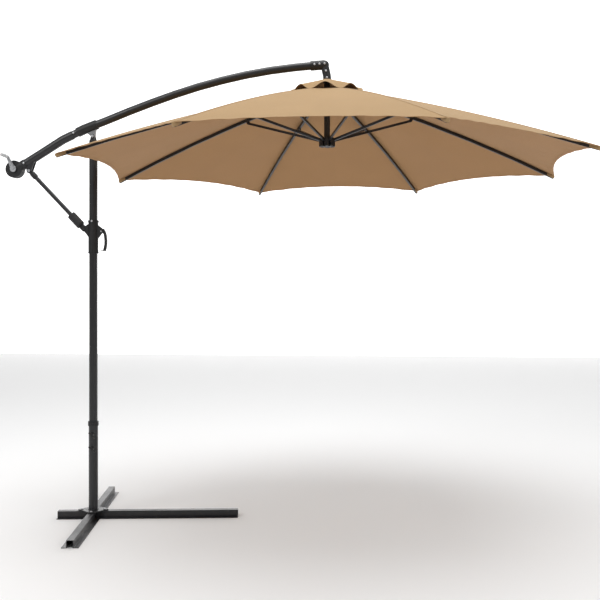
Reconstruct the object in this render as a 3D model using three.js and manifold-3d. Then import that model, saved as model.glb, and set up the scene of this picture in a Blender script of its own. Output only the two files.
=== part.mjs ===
// Offset patio umbrella on a cross base: millimetres, +Z up.
// Origin: on the mast's axis at the ground. +X runs from the mast towards the canopy.
import * as THREE from 'three';
import { mergeVertices } from 'three/addons/utils/BufferGeometryUtils.js';
import Module from 'manifold-3d';

const wasm = await Module();
wasm.setup();

const DEG = Math.PI / 180;
const TUBE_SIDES = 16;        // facets round the arm and its sleeves
const ROUND_SIDES = 24;       // facets round a tube or a broad disc
const SMALL_SIDES = 16;       // facets round a boss or a bolt
const PIN_SIDES = 12;         // facets round a pin
const HEX_SIDES = 6;          // a nut, a hexagon head or a thin cord
const ARM_STEPS = 13;         // straight stretches along the arm
const OVER = 1;               // how far one shape runs into the next, or a cutter past its end
const THROUGH = 30;           // half length of a cutter that passes right through a fork

// ---- clearances ----
const TOUCH_GAP = 0.3;        // between two pieces that touch
const SLIDE_GAP = 0.4;        // round a tube that slides or plugs in
const PIN_GAP = 0.3;          // round a pin or bolt in its hole

// ---- mast and socket ----
const MAST_RADIUS = 24;
const TUBE_WALL = 2;
const MAST_TOP = 2160;
const SOCKET_TOP = 545;
const SOCKET_WALL = 1.8;
const COLLAR_HEIGHT = 26;
const COLLAR_OVERLAP = 18;
const COLLAR_WALL = 3.5;
const CLAMP_HEIGHTS = { upper: 477, lower: 397 };

// ---- base ----
const BASE_TURN = 7 * DEG;    // the base's heading against the arm's
const BAR_HEIGHT = 40;
const BAR_WEB = 38;
const BAR_FLANGE = 26;
const BAR_WALL = 3;
const LONG_BAR_BACK = -200;
const LONG_BAR_FRONT = 830;
const CROSS_BAR_HALF = 602;
const PLATE_SIDE = 122;
const PLATE_THICKNESS = 6;
const BOLT_CIRCLE = 64;
const BOLT_RADIUS = 4;

// ---- canopy size and place ----
const RIB_COUNT = 8;
const RIB_STEP = (2 * Math.PI) / RIB_COUNT;
const HALF_STEP = RIB_STEP / 2;
const RIB_REACH = 1468;       // from the pole's axis to a rib's tip
const RIB_FALL = 433;         // from a rib's pivot down to its tip
const RIM_OVERHANG = 7;       // fabric beyond the rib's tip
const RIM_RADIUS = RIB_REACH + RIM_OVERHANG;
const SCALLOP = 80;
const EDGE_STAND = 62.28;     // from the mast's axis to the nearest fabric
const CANOPY_X = RIM_RADIUS * Math.cos(HALF_STEP) - SCALLOP + EDGE_STAND;

// ---- tilting arm ----
const PIVOT_RISE = 28;        // the arm's pivot above the mast's end
const PIVOT_Z = MAST_TOP + PIVOT_RISE;    // every height above the mast is taken from here
const ARM_RADIUS = 22.5;
const ARM_PIVOT = { x: 0, z: PIVOT_Z };
const ARM_BACK = 420;         // from the mast's axis to each end of the arm
const ARM_AHEAD = CANOPY_X - 39;
// Share of the arm's length behind or ahead of the mast, and height against the pivot.
const ARM_LINE = [
  [-1, -162], [-0.65, -74], [-0.3, 13], [0.016, 68], [0.24, 178],
  [0.479, 277], [0.714, 344], [0.904, 374], [1, 383],
].map(([share, rise]) => [share * (share < 0 ? ARM_BACK : ARM_AHEAD), PIVOT_Z + rise]);
const SADDLE_WALL = 5.1;
const SADDLE_RADIUS = ARM_RADIUS + SLIDE_GAP + SADDLE_WALL;
const SADDLE_FROM = -92;
const SADDLE_TO = 22;
const SLEEVE_WALL = 2.1;
const SLEEVE_RADIUS = ARM_RADIUS + SLIDE_GAP + SLEEVE_WALL;
const SLEEVE_TO = -122;
const LUG_HALF = 10.3;        // half thickness of the lugs and eyes on the pivots
const CHEEK = 5;              // thickness of the fork cheeks round them
const EYE_RADIUS = 11;
const PIVOT_BOLT = 4;

// ---- winch ----
const WINCH = { x: -463, z: PIVOT_Z - 184 };
const WINCH_RADIUS = 50;
const WINCH_HALF = 24;
const WINCH_WALL = 4;
const DRUM_RADIUS = 16;
const DRUM_FLANGE = 36;
const SHAFT_RADIUS = 6;
const CRANK_LENGTH = 78;
const CRANK_ANGLE = 115 * DEG;
const CRANK_THICKNESS = 8;
const GRIP_LENGTH = 84;
const GRIP_RADIUS = 11;

// ---- strut and slider ----
const SLIDER_WALL = 4.1;
const SLIDER_RADIUS = MAST_RADIUS + SLIDE_GAP + SLIDER_WALL;
const SLIDER_RIM = SLIDER_RADIUS + 2;
const SLIDER_TOP = PIVOT_Z - 482;
const SLIDER_BOTTOM = PIVOT_Z - 672;
const STRUT_TOP = { x: -376, z: PIVOT_Z - 194 };
const FOOT_STAND = 23.5;      // the strut foot's pivot off the slider's side
const STRUT_FOOT = { x: -SLIDER_RADIUS - FOOT_STAND, z: PIVOT_Z - 532 };
const STRUT_RADIUS = 12;
const STRUT_GRIP_RADIUS = 24;
const STRUT_GRIP_LENGTH = 84;
const STRUT_GRIP_START = 30;
const FOOT_EYE_RADIUS = 15;
const FOOT_PLAY = 7;          // the strut foot's slack round its bolt
const LEVER_STAND = 20.5;     // the lever's pivot off the slider's side
const LEVER_PIVOT = { x: SLIDER_RADIUS + LEVER_STAND, z: PIVOT_Z - 546 };
const LEVER_LINE = [[5, 13], [18, -10], [24, -42], [24, -76], [16, -112]]
  .map(([out, rise]) => [LEVER_PIVOT.x + out, LEVER_PIVOT.z + rise]);
const LEVER_STEPS = 10;
const LEVER_HALF = 8;
const LEVER_DEPTH = 14;

// ---- hanging end ----
const ELBOW = { x: CANOPY_X - 14, z: PIVOT_Z + 383 };
const ELBOW_GAP = 2 * SLIDE_GAP;
const ELBOW_WALL = 3.7;
const ELBOW_RADIUS = ARM_RADIUS + ELBOW_GAP + ELBOW_WALL;
const POLE_RADIUS = 17;
const POLE_TOP = PIVOT_Z + 318;
const LEG_WALL = 5.7;
const LEG_RADIUS = POLE_RADIUS + TOUCH_GAP + LEG_WALL;
const LEG_BOTTOM = PIVOT_Z + 282;
const PULLEY_RADIUS = 9;
const PULLEY_RIM = 11.5;
const PULLEY_HALF = 5;
const CORD_RADIUS = 1.75;

// ---- ribs, stretchers, hub and runner ----
const HUB_PIVOT_RADIUS = POLE_RADIUS + 17;
const HUB_Z = PIVOT_Z + 238;
const RIB_TIP = { r: RIB_REACH, z: HUB_Z - RIB_FALL };
const RIB_BOW = 27;
const RIB_WIDTH = 12;
const RIB_DEPTH = 18;
const RIB_WALL = 0.9;
const RIB_ROOT = 7;           // how far the rib runs inward past its pivot
const STRETCHER_LENGTH = 500;
const STRETCHER_WIDTH = 10;
const STRETCHER_DEPTH = 14;
const STRETCHER_DROP = 20;    // pivot below the rib's centreline
const HUB_RADIUS = HUB_PIVOT_RADIUS + 11;
const HUB_HALF = 14;
const HUB_WALL = 3.3;         // wall round the pole behind the slots
const HUB_CORE = POLE_RADIUS + TOUCH_GAP + HUB_WALL;
const RUNNER_WALL = 8.1;
const RUNNER_CORE = POLE_RADIUS + SLIDE_GAP + RUNNER_WALL;
const RUNNER_UP = 14;
const RUNNER_DOWN = 34;
const RUNNER_FLOOR = 19.36;     // from the runner's lower face to the pole's end
const RING_WIRE = 1.6;
const NOTCH_GAP = 0.5;

// ---- fabric ----
const CLOTH = 1.2;
const CLOTH_LIFT = 3.4;         // fabric's underside above the rib's top
const VENT_RADIUS = 90;
const CAP_RADIUS = 212;
const CAP_EYE = LEG_RADIUS + 5;
const CAP_TOP = HUB_Z + 60;
const CAP_ARCH = 36;
const CAP_BULGE = 8;
const CAP_SEAM = 10;
const SEAM_HEIGHT = 4.4;
const SEAM_HALF = 7;

const steel = (name) => material(name, 0x2d2e30, 0.5, 0.75);
const plastic = (name) => material(name, 0x1b1b1c, 0.55, 0.0);
const zinc = (name) => material(name, 0xb9bcc0, 0.35, 0.9);

function material(name, color, roughness, metalness) {
  return new THREE.MeshStandardMaterial({ name, color, roughness, metalness });
}

// ---- solids ----
function solid(geometry) {
  const bare = geometry.clone();
  bare.deleteAttribute('normal');
  bare.deleteAttribute('uv');
  const merged = mergeVertices(bare, 1e-4);
  return new wasm.Manifold(new wasm.Mesh({
    numProp: 3,
    vertProperties: new Float32Array(merged.attributes.position.array),
    triVerts: new Uint32Array(merged.index.array),
  }));
}

function node(name, shape, look) {
  const mesh = shape.getMesh();
  const geometry = new THREE.BufferGeometry();
  geometry.setAttribute('position', new THREE.BufferAttribute(new Float32Array(mesh.vertProperties), 3));
  geometry.setIndex(new THREE.BufferAttribute(new Uint32Array(mesh.triVerts), 1));
  geometry.computeVertexNormals();
  const piece = new THREE.Mesh(geometry, look);
  piece.name = name;
  return piece;
}

function block(x0, x1, y0, y1, z0, z1) {
  const geometry = new THREE.BoxGeometry(x1 - x0, y1 - y0, z1 - z0);
  geometry.translate((x0 + x1) / 2, (y0 + y1) / 2, (z0 + z1) / 2);
  return solid(geometry);
}

// A round bar from point a to point b, each [x, y, z].
function bar(a, b, radius, sides = ROUND_SIDES, endRadius = radius) {
  const from = new THREE.Vector3(...a);
  const to = new THREE.Vector3(...b);
  const along = to.clone().sub(from);
  const geometry = new THREE.CylinderGeometry(endRadius, radius, along.length(), sides);
  geometry.applyQuaternion(new THREE.Quaternion().setFromUnitVectors(
    new THREE.Vector3(0, 1, 0), along.clone().normalize()));
  const middle = from.add(to).multiplyScalar(0.5);
  geometry.translate(middle.x, middle.y, middle.z);
  return solid(geometry);
}

// A bar along Y through the point (x, z), from y0 to y1.
function crossBar(point, radius, y0, y1, sides = SMALL_SIDES) {
  return bar([point.x, y0, point.z], [point.x, y1, point.z], radius, sides);
}

// A ring turned about Z from a closed [radius, height] outline.
function turned(outline, sides = ROUND_SIDES) {
  const points = [...outline, outline[0]].map(([r, z]) => new THREE.Vector2(r, z));
  const geometry = new THREE.LatheGeometry(points, sides);
  geometry.rotateX(90 * DEG);
  return solid(geometry);
}

// A flat outline of [x, z] points, given thickness from y0 to y1.
function plateXZ(outline, y0, y1) {
  const shape = new THREE.Shape(outline.map(([x, z]) => new THREE.Vector2(x, z)));
  const geometry = new THREE.ExtrudeGeometry(shape, { depth: y1 - y0, bevelEnabled: false });
  geometry.rotateX(90 * DEG);
  geometry.translate(0, y1, 0);
  return solid(geometry);
}

// A flat tab with a rounded end: from a broad root edge to an eye at the pivot.
function tab(pivot, radius, root, y0, y1, sides = SMALL_SIDES) {
  return crossBar(pivot, radius, y0, y1, sides).add(plateXZ(root, y0, y1));
}

function roundShape(radius, sides) {
  const shape = new THREE.Shape();
  for (let i = 0; i < sides; i += 1) {
    const a = (i / sides) * 2 * Math.PI;
    const step = i === 0 ? 'moveTo' : 'lineTo';
    shape[step](radius * Math.cos(a), radius * Math.sin(a));
  }
  shape.closePath();
  return shape;
}

function curveXZ(points, y = 0) {
  return new THREE.CatmullRomCurve3(points.map(([x, z]) => new THREE.Vector3(x, y, z)), false, 'centripetal');
}

function sweep(shape, curve, steps) {
  return solid(new THREE.ExtrudeGeometry(shape, { steps, bevelEnabled: false, extrudePath: curve }));
}

// ---- the arm's centreline, as straight stretches between evenly spaced joints ----
const armJoints = curveXZ(ARM_LINE).getSpacedPoints(ARM_STEPS);

function directionFrom(i) {
  return armJoints[i + 1].clone().sub(armJoints[i]).normalize();
}

function armAt(x) {
  let i = 0;
  while (i < ARM_STEPS - 1 && armJoints[i + 1].x < x) i += 1;
  const along = directionFrom(i);
  const point = armJoints[i].clone().addScaledVector(along, (x - armJoints[i].x) / along.x);
  return { point, along };
}

// A round bar through points of the XZ plane, mitred where it turns.
function threaded(points, radius, sides) {
  const final = points.length - 1;
  const way = (i) => points[Math.min(i + 1, final)].clone().sub(points[Math.max(i, 0)]).normalize();
  const positions = [];
  points.forEach((point, i) => {
    const along = i === 0 || i === points.length - 1
      ? way(Math.min(i, points.length - 2))
      : way(i - 1).add(way(i)).normalize();
    for (let k = 0; k < sides; k += 1) {
      const turn = (k / sides) * 2 * Math.PI;
      const out = radius * Math.cos(turn);
      positions.push(point.x - along.z * out, radius * Math.sin(turn), point.z + along.x * out);
    }
  });
  const faces = [];
  for (let i = 0; i < points.length - 1; i += 1) {
    for (let k = 0; k < sides; k += 1) {
      const a = i * sides + k;
      const b = i * sides + ((k + 1) % sides);
      faces.push(a, b + sides, b, a, a + sides, b + sides);
    }
  }
  const last = (points.length - 1) * sides;
  for (let k = 1; k < sides - 1; k += 1) {
    faces.push(0, k, k + 1, last, last + k + 1, last + k);
  }
  const geometry = new THREE.BufferGeometry();
  geometry.setAttribute('position', new THREE.BufferAttribute(new Float32Array(positions), 3));
  geometry.setIndex(faces);
  return solid(geometry);
}

// A round bar that follows the arm's centreline from x0 to x1.
function alongArm(x0, x1, radius) {
  const between = armJoints.slice(1, -1).filter((joint) => joint.x > x0 + OVER && joint.x < x1 - OVER);
  return threaded([armAt(x0).point, ...between, armAt(x1).point], radius, TUBE_SIDES);
}

function sleeve(x0, x1, outer, inner) {
  return alongArm(x0, x1, outer).subtract(alongArm(x0 - OVER, x1 + OVER, inner));
}

// A point on the line through `from` towards `to`, a distance along it and up off it.
function offset(from, to, along, up) {
  const length = Math.hypot(to.x - from.x, to.z - from.z);
  const ux = (to.x - from.x) / length;
  const uz = (to.z - from.z) / length;
  return { x: from.x + ux * along - uz * up, z: from.z + uz * along + ux * up };
}

const object = new THREE.Group();
object.name = 'patio_umbrella_with_base';

// ================= base =================
const base = new THREE.Group();
base.name = 'base_group';
base.rotation.z = BASE_TURN;
object.add(base);

const HALF_WEB = BAR_WEB / 2;
const HALF_BAR = HALF_WEB + BAR_FLANGE;
const LAP = BAR_HEIGHT / 2;
const PLATE_BOTTOM = BAR_HEIGHT + TOUCH_GAP;
const PLATE_TOP = PLATE_BOTTOM + PLATE_THICKNESS;
const SOCKET_BORE = MAST_RADIUS + SLIDE_GAP;
const SOCKET_RADIUS = SOCKET_BORE + SOCKET_WALL;

// A hat-section bar along X.
function hatBar(x0, x1) {
  const outside = block(x0, x1, -HALF_WEB, HALF_WEB, 0, BAR_HEIGHT);
  const channel = block(x0 - OVER, x1 + OVER, -HALF_WEB + BAR_WALL, HALF_WEB - BAR_WALL,
    -OVER, BAR_HEIGHT - BAR_WALL);
  const flanges = block(x0, x1, -HALF_BAR, HALF_BAR, 0, BAR_WALL);
  return outside.add(flanges).subtract(channel);
}

function boltHoles(z0, z1) {
  const spots = [[BOLT_CIRCLE, 0], [0, BOLT_CIRCLE], [-BOLT_CIRCLE, 0], [0, -BOLT_CIRCLE]];
  return spots.map(([x, y]) => bar([x, y, z0], [x, y, z1], BOLT_RADIUS + PIN_GAP, SMALL_SIDES));
}

// A cutter along Y for a pin's or bolt's hole right through a fork.
function boltHole(point, radius, sides = SMALL_SIDES) {
  return crossBar(point, radius + PIN_GAP, -THROUGH, THROUGH, sides);
}

function drilled(shape, holes) {
  return holes.reduce((left, hole) => left.subtract(hole), shape);
}

const WEB_HOLES = boltHoles(BAR_HEIGHT - 2 * BAR_WALL, BAR_HEIGHT + OVER);
const upperLap = block(-HALF_WEB - TOUCH_GAP, HALF_WEB + TOUCH_GAP, -HALF_BAR - OVER, HALF_BAR + OVER,
  LAP - TOUCH_GAP / 2, BAR_HEIGHT + OVER);
const longBar = drilled(hatBar(LONG_BAR_BACK, LONG_BAR_FRONT).subtract(upperLap), WEB_HOLES);
base.add(node('base_bar_long', longBar, steel('base_bar_long')));

const lowerLap = block(-HALF_BAR - TOUCH_GAP, HALF_BAR + TOUCH_GAP, -HALF_BAR - OVER, HALF_BAR + OVER,
  -OVER, LAP + TOUCH_GAP / 2);
const crossPiece = hatBar(-CROSS_BAR_HALF, CROSS_BAR_HALF).subtract(lowerLap).rotate([0, 0, 90]);
base.add(node('base_bar_cross', drilled(crossPiece, WEB_HOLES), steel('base_bar_cross')));

// The foot plate stands on its corners over the bars, with the socket tube welded on it.
const CLAMP_BOSS = 9;
const CLAMP_BOSS_OUT = SOCKET_RADIUS + CLAMP_BOSS;
const CLAMP_SCREW = 4;
const plate = block(-PLATE_SIDE / 2, PLATE_SIDE / 2, -PLATE_SIDE / 2, PLATE_SIDE / 2, PLATE_BOTTOM, PLATE_TOP)
  .rotate([0, 0, 45]);
let foot = drilled(plate, boltHoles(PLATE_BOTTOM - OVER, PLATE_TOP + OVER))
  .add(bar([0, 0, PLATE_BOTTOM], [0, 0, SOCKET_TOP], SOCKET_RADIUS, ROUND_SIDES));
for (const z of Object.values(CLAMP_HEIGHTS)) {
  foot = foot.add(bar([0, 0, z], [0, -CLAMP_BOSS_OUT, z], CLAMP_BOSS, SMALL_SIDES));
}
foot = foot.subtract(bar([0, 0, PLATE_TOP], [0, 0, SOCKET_TOP + OVER], SOCKET_BORE, ROUND_SIDES));
for (const z of Object.values(CLAMP_HEIGHTS)) {
  foot = foot.subtract(bar([0, 0, z], [0, -CLAMP_BOSS_OUT - OVER, z], CLAMP_SCREW + PIN_GAP, SMALL_SIDES));
}
base.add(node('mast_foot', foot, steel('mast_foot')));

const BOLT_HEAD = 7.5;
const BOLT_HEAD_HEIGHT = 5.5;
const BOLT_END = 5;           // thread standing out below the nut
const HEAD_UNDER = PLATE_TOP + TOUCH_GAP;
const NUT_BOTTOM = BAR_HEIGHT - BAR_WALL - TOUCH_GAP - BOLT_HEAD_HEIGHT;
function footBolt() {
  const head = bar([0, 0, HEAD_UNDER], [0, 0, HEAD_UNDER + BOLT_HEAD_HEIGHT], BOLT_HEAD, HEX_SIDES);
  const shank = bar([0, 0, NUT_BOTTOM - BOLT_END], [0, 0, HEAD_UNDER + OVER], BOLT_RADIUS, PIN_SIDES);
  const nut = bar([0, 0, NUT_BOTTOM], [0, 0, NUT_BOTTOM + BOLT_HEAD_HEIGHT], BOLT_HEAD, HEX_SIDES);
  return head.add(shank).add(nut);
}
const FOOT_BOLTS = 4;
for (let i = 0; i < FOOT_BOLTS; i += 1) {
  const heading = (i / FOOT_BOLTS) * 2 * Math.PI;
  const bolt = node(`foot_bolt_${i + 1}`, footBolt(), zinc(`foot_bolt_${i + 1}`));
  bolt.position.set(BOLT_CIRCLE * Math.cos(heading), BOLT_CIRCLE * Math.sin(heading), 0);
  base.add(bolt);
}

const COLLAR_TOP = SOCKET_TOP - COLLAR_OVERLAP + COLLAR_HEIGHT;
const COLLAR_RADIUS = SOCKET_RADIUS + TOUCH_GAP + COLLAR_WALL;
const collar = turned([
  [SOCKET_BORE, COLLAR_TOP], [SOCKET_BORE, SOCKET_TOP + TOUCH_GAP],
  [SOCKET_RADIUS + TOUCH_GAP, SOCKET_TOP + TOUCH_GAP],
  [SOCKET_RADIUS + TOUCH_GAP, SOCKET_TOP - COLLAR_OVERLAP],
  [COLLAR_RADIUS, SOCKET_TOP - COLLAR_OVERLAP], [COLLAR_RADIUS, COLLAR_TOP],
]);
const COLLAR_SCREW = 3.2;
const COLLAR_SCREW_OUT = 2.5;
const collarScrew = bar([0, OVER - COLLAR_RADIUS, SOCKET_TOP],
  [0, -COLLAR_RADIUS - COLLAR_SCREW_OUT, SOCKET_TOP], COLLAR_SCREW, PIN_SIDES);
base.add(node('socket_collar', collar.add(collarScrew), plastic('socket_collar')));

// A clamp screw with a cross handle, its axis along Y.
const HANDLE_HALF = 24;
const HANDLE_LEAN = 40 * DEG;
const HANDLE_RADIUS = 4;
const HANDLE_END = 5;
const KNOB_RADIUS = 10;
const KNOB_FACE = 8.5;
const KNOB_STAND = 3;         // the knob's face off the boss
const KNOB_LENGTH = 12;
const KNOB_IN = CLAMP_BOSS_OUT + KNOB_STAND;
const KNOB_OUT = KNOB_IN + KNOB_LENGTH;
function clampScrew(z) {
  const screw = bar([0, -MAST_RADIUS - TOUCH_GAP, z], [0, -KNOB_IN - OVER, z], CLAMP_SCREW, PIN_SIDES);
  const knob = bar([0, -KNOB_IN, z], [0, -KNOB_OUT, z], KNOB_RADIUS, SMALL_SIDES, KNOB_FACE);
  const y = -(KNOB_IN + KNOB_OUT) / 2;
  const dx = HANDLE_HALF * Math.cos(HANDLE_LEAN);
  const dz = HANDLE_HALF * Math.sin(HANDLE_LEAN);
  const handle = bar([-dx, y, z + dz], [dx, y, z - dz], HANDLE_RADIUS, PIN_SIDES, HANDLE_END);
  return screw.add(knob).add(handle);
}
for (const [label, z] of Object.entries(CLAMP_HEIGHTS)) {
  const name = `clamp_screw_${label}`;
  base.add(node(name, clampScrew(z), plastic(name)));
}

// ================= mast =================
const MAST_BOTTOM = PLATE_TOP + TOUCH_GAP;
const MAST_BORE = MAST_RADIUS - TUBE_WALL;
const mast = turned([
  [MAST_BORE, MAST_BOTTOM], [MAST_RADIUS, MAST_BOTTOM], [MAST_RADIUS, MAST_TOP], [MAST_BORE, MAST_TOP],
]);
object.add(node('mast_tube', mast, steel('mast_tube')));

const HEAD_FLANGE = 5;
const HEAD_PLUG = 34;
const HEAD_ROOT = 16;
const HEAD_BOTTOM = MAST_TOP + TOUCH_GAP;
const FORK_IN = LUG_HALF + TOUCH_GAP;
const FORK_OUT = FORK_IN + CHEEK;
function bothSides(make, inner = FORK_IN, outer = FORK_OUT) {
  return make(inner, outer).add(make(-outer, -inner));
}
const headCheeks = bothSides((y0, y1) => tab(ARM_PIVOT, EYE_RADIUS, [
  [-HEAD_ROOT, HEAD_BOTTOM], [HEAD_ROOT, HEAD_BOTTOM], [EYE_RADIUS, ARM_PIVOT.z], [-EYE_RADIUS, ARM_PIVOT.z],
], y0, y1));
const headPlug = bar([0, 0, MAST_TOP - HEAD_PLUG], [0, 0, HEAD_BOTTOM + OVER], MAST_BORE - SLIDE_GAP)
  .add(bar([0, 0, HEAD_BOTTOM], [0, 0, HEAD_BOTTOM + HEAD_FLANGE], MAST_RADIUS, ROUND_SIDES));
const mastHead = headPlug.add(headCheeks).subtract(boltHole(ARM_PIVOT, PIVOT_BOLT));
object.add(node('mast_head', mastHead, steel('mast_head')));

// A bolt along Y with a round head and a nut outside a fork.
const PIVOT_HEAD = 8;
const PIVOT_HEAD_HEIGHT = 4;
const PIVOT_NUT_HEIGHT = 5;
function forkBolt(point, half) {
  const seat = half + TOUCH_GAP;
  const shank = crossBar(point, PIVOT_BOLT, -seat - OVER, seat + OVER);
  const head = crossBar(point, PIVOT_HEAD, -seat - PIVOT_HEAD_HEIGHT, -seat);
  const nut = crossBar(point, PIVOT_HEAD, seat, seat + PIVOT_NUT_HEIGHT, HEX_SIDES);
  return shank.add(head).add(nut);
}
object.add(node('arm_pivot_bolt', forkBolt(ARM_PIVOT, FORK_OUT), zinc('arm_pivot_bolt')));

// ================= arm =================
const ARM_BORE = ARM_RADIUS - TUBE_WALL;
const ARM_FROM = ARM_LINE[0][0];
const ARM_TO = ARM_LINE[ARM_LINE.length - 1][0];
const arm = sleeve(ARM_FROM, ARM_TO, ARM_RADIUS, ARM_BORE);
object.add(node('arm_tube', arm, steel('arm_tube')));

const OVER_ARM = ARM_RADIUS + SLIDE_GAP;
const NECK_LENGTH = 52;
const NECK_OVERLAP = 20;      // how far along X the winch's neck covers the arm
const neckStart = armAt(ARM_FROM + NECK_OVERLAP).point;
const armDown = armAt(ARM_FROM + OVER).along.negate();
function winchNeck(radius) {
  return bar([neckStart.x, 0, neckStart.z],
    [neckStart.x + armDown.x * NECK_LENGTH, 0, neckStart.z + armDown.z * NECK_LENGTH], radius, ROUND_SIDES);
}
const FORK_ROOT_BACK = 12;    // the strut fork's root, along X behind and ahead of its pivot
const FORK_ROOT_AHEAD = 40;
const FORK_ROOT_DEPTH = 10;
const sleeveFrom = ARM_FROM + NECK_OVERLAP + 2;
const lowSleeve = sleeve(sleeveFrom, SLEEVE_TO, SLEEVE_RADIUS, OVER_ARM);
const forkRootA = armAt(STRUT_TOP.x - FORK_ROOT_BACK).point;
const forkRootB = armAt(STRUT_TOP.x + FORK_ROOT_AHEAD).point;
const strutCheeks = bothSides((y0, y1) => tab(STRUT_TOP, FOOT_EYE_RADIUS, [
  [STRUT_TOP.x - FOOT_EYE_RADIUS, STRUT_TOP.z], [STRUT_TOP.x + EYE_RADIUS, STRUT_TOP.z - EYE_RADIUS],
  [forkRootB.x, forkRootB.z - FORK_ROOT_DEPTH], [forkRootA.x, forkRootA.z - FORK_ROOT_DEPTH],
], y0, y1));
const armCore = alongArm(ARM_FROM + OVER, SLEEVE_TO + OVER, OVER_ARM);
const sleeveSolid = lowSleeve.add(strutCheeks.subtract(armCore).subtract(winchNeck(SADDLE_RADIUS + OVER)))
  .subtract(boltHole(STRUT_TOP, PIVOT_BOLT));
object.add(node('arm_sleeve', sleeveSolid, steel('arm_sleeve')));

// The saddle grips the arm and hangs a gusset down to the mast head.
const GUSSET_INSET = 12;      // the gusset's root, in from the arm's centreline's level
const GUSSET_FROM = SADDLE_FROM + 40;
const GUSSET_TO = SADDLE_TO - 3;
const saddleCore = alongArm(SADDLE_FROM - OVER, SADDLE_TO + OVER, OVER_ARM);
const saddleEndA = armAt(GUSSET_FROM).point;
const saddleEndB = armAt(GUSSET_TO).point;
const gusset = tab(ARM_PIVOT, EYE_RADIUS, [
  [-EYE_RADIUS, ARM_PIVOT.z], [EYE_RADIUS, ARM_PIVOT.z],
  [saddleEndB.x, saddleEndB.z - GUSSET_INSET], [saddleEndA.x, saddleEndA.z - GUSSET_INSET],
], -LUG_HALF, LUG_HALF);
const saddle = alongArm(SADDLE_FROM, SADDLE_TO, SADDLE_RADIUS)
  .add(gusset)
  .subtract(saddleCore)
  .subtract(boltHole(ARM_PIVOT, PIVOT_BOLT));
object.add(node('arm_saddle', saddle, plastic('arm_saddle')));

// ================= winch =================
const shellHalf = WINCH_HALF - WINCH_WALL;
const DRUM_ROOM = 3;          // free space round the drum's flanges
const CORD_WAY = 40;          // how far the cord's way reaches from the arm's end into the shell
const cordWayRadius = ARM_BORE - 2;
const neck = winchNeck(SADDLE_RADIUS);
const armEnd = armAt(ARM_FROM).point;
const neckBore = bar([neckStart.x - armDown.x * NECK_OVERLAP, 0, neckStart.z - armDown.z * NECK_OVERLAP],
  [armEnd.x + armDown.x * TOUCH_GAP, 0, armEnd.z + armDown.z * TOUCH_GAP], OVER_ARM);
const cordWay = bar([armEnd.x, 0, armEnd.z],
  [armEnd.x + armDown.x * CORD_WAY, 0, armEnd.z + armDown.z * CORD_WAY], cordWayRadius, SMALL_SIDES);
const housing = crossBar(WINCH, WINCH_RADIUS, -WINCH_HALF, WINCH_HALF, ROUND_SIDES)
  .add(neck)
  .subtract(crossBar(WINCH, DRUM_FLANGE + DRUM_ROOM, -shellHalf, shellHalf, ROUND_SIDES))
  .subtract(neckBore)
  .subtract(cordWay)
  .subtract(crossBar(WINCH, SHAFT_RADIUS + PIN_GAP, -WINCH_HALF - OVER, 0));
object.add(node('winch_housing', housing, plastic('winch_housing')));

const DRUM_HALF = 10;
const CRANK_IN = WINCH_HALF + 4;
const CRANK_OUT = CRANK_IN + CRANK_THICKNESS;
const DRUM_CHEEK = 3;
const SHAFT_END = 4;          // shaft standing out past the crank's hub
const drum = crossBar(WINCH, DRUM_RADIUS, -DRUM_HALF, DRUM_HALF, SMALL_SIDES)
  .add(crossBar(WINCH, DRUM_FLANGE, DRUM_HALF, DRUM_HALF + DRUM_CHEEK, ROUND_SIDES))
  .add(crossBar(WINCH, DRUM_FLANGE, -DRUM_HALF - DRUM_CHEEK, -DRUM_HALF, ROUND_SIDES))
  .add(crossBar(WINCH, SHAFT_RADIUS, -CRANK_OUT - SHAFT_END, 0));
object.add(node('winch_drum', drum, zinc('winch_drum')));

const crankEnd = {
  x: WINCH.x + CRANK_LENGTH * Math.cos(CRANK_ANGLE),
  z: WINCH.z + CRANK_LENGTH * Math.sin(CRANK_ANGLE),
};
const CRANK_HUB = 18;
const CRANK_TIP = 10;
const CRANK_ROOT_HALF = 13;   // half width of the crank's arm at the hub and at the tip
const CRANK_TIP_HALF = 8.5;
const GRIP_PIN = 4;
const GRIP_END = 8;           // length of the grip's tapered end
const GRIP_END_RADIUS = 7;
const GRIP_PIN_SHORT = 20;    // how much shorter the pin is than the grip
const crankSide = (along, up) => {
  const p = offset(WINCH, crankEnd, along, up);
  return [p.x, p.z];
};
const crank = crossBar(WINCH, CRANK_HUB, -CRANK_OUT, -CRANK_IN, ROUND_SIDES)
  .add(crossBar(crankEnd, CRANK_TIP, -CRANK_OUT, -CRANK_IN, SMALL_SIDES))
  .add(plateXZ([
    crankSide(0, CRANK_ROOT_HALF), crankSide(0, -CRANK_ROOT_HALF),
    crankSide(CRANK_LENGTH, -CRANK_TIP_HALF), crankSide(CRANK_LENGTH, CRANK_TIP_HALF),
  ], -CRANK_OUT, -CRANK_IN))
  .subtract(crossBar(WINCH, SHAFT_RADIUS + PIN_GAP, -CRANK_OUT - OVER, -CRANK_IN + OVER))
  .add(crossBar(crankEnd, GRIP_PIN, -CRANK_OUT - GRIP_LENGTH + GRIP_PIN_SHORT, OVER - CRANK_OUT, PIN_SIDES));
object.add(node('crank_arm', crank, zinc('crank_arm')));

const gripIn = CRANK_OUT + 2 * TOUCH_GAP;
const gripOut = gripIn + GRIP_LENGTH;
const gripTaper = GRIP_END - gripOut;
const crankGrip = crossBar(crankEnd, GRIP_RADIUS, gripTaper, -gripIn)
  .add(bar([crankEnd.x, gripTaper, crankEnd.z], [crankEnd.x, -gripOut, crankEnd.z],
    GRIP_RADIUS, SMALL_SIDES, GRIP_END_RADIUS))
  .subtract(crossBar(crankEnd, GRIP_PIN + PIN_GAP, gripTaper + GRIP_PIN, 0, PIN_SIDES));
object.add(node('crank_grip', crankGrip, material('crank_grip', 0xc9cccf, 0.45, 0.0)));

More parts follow.
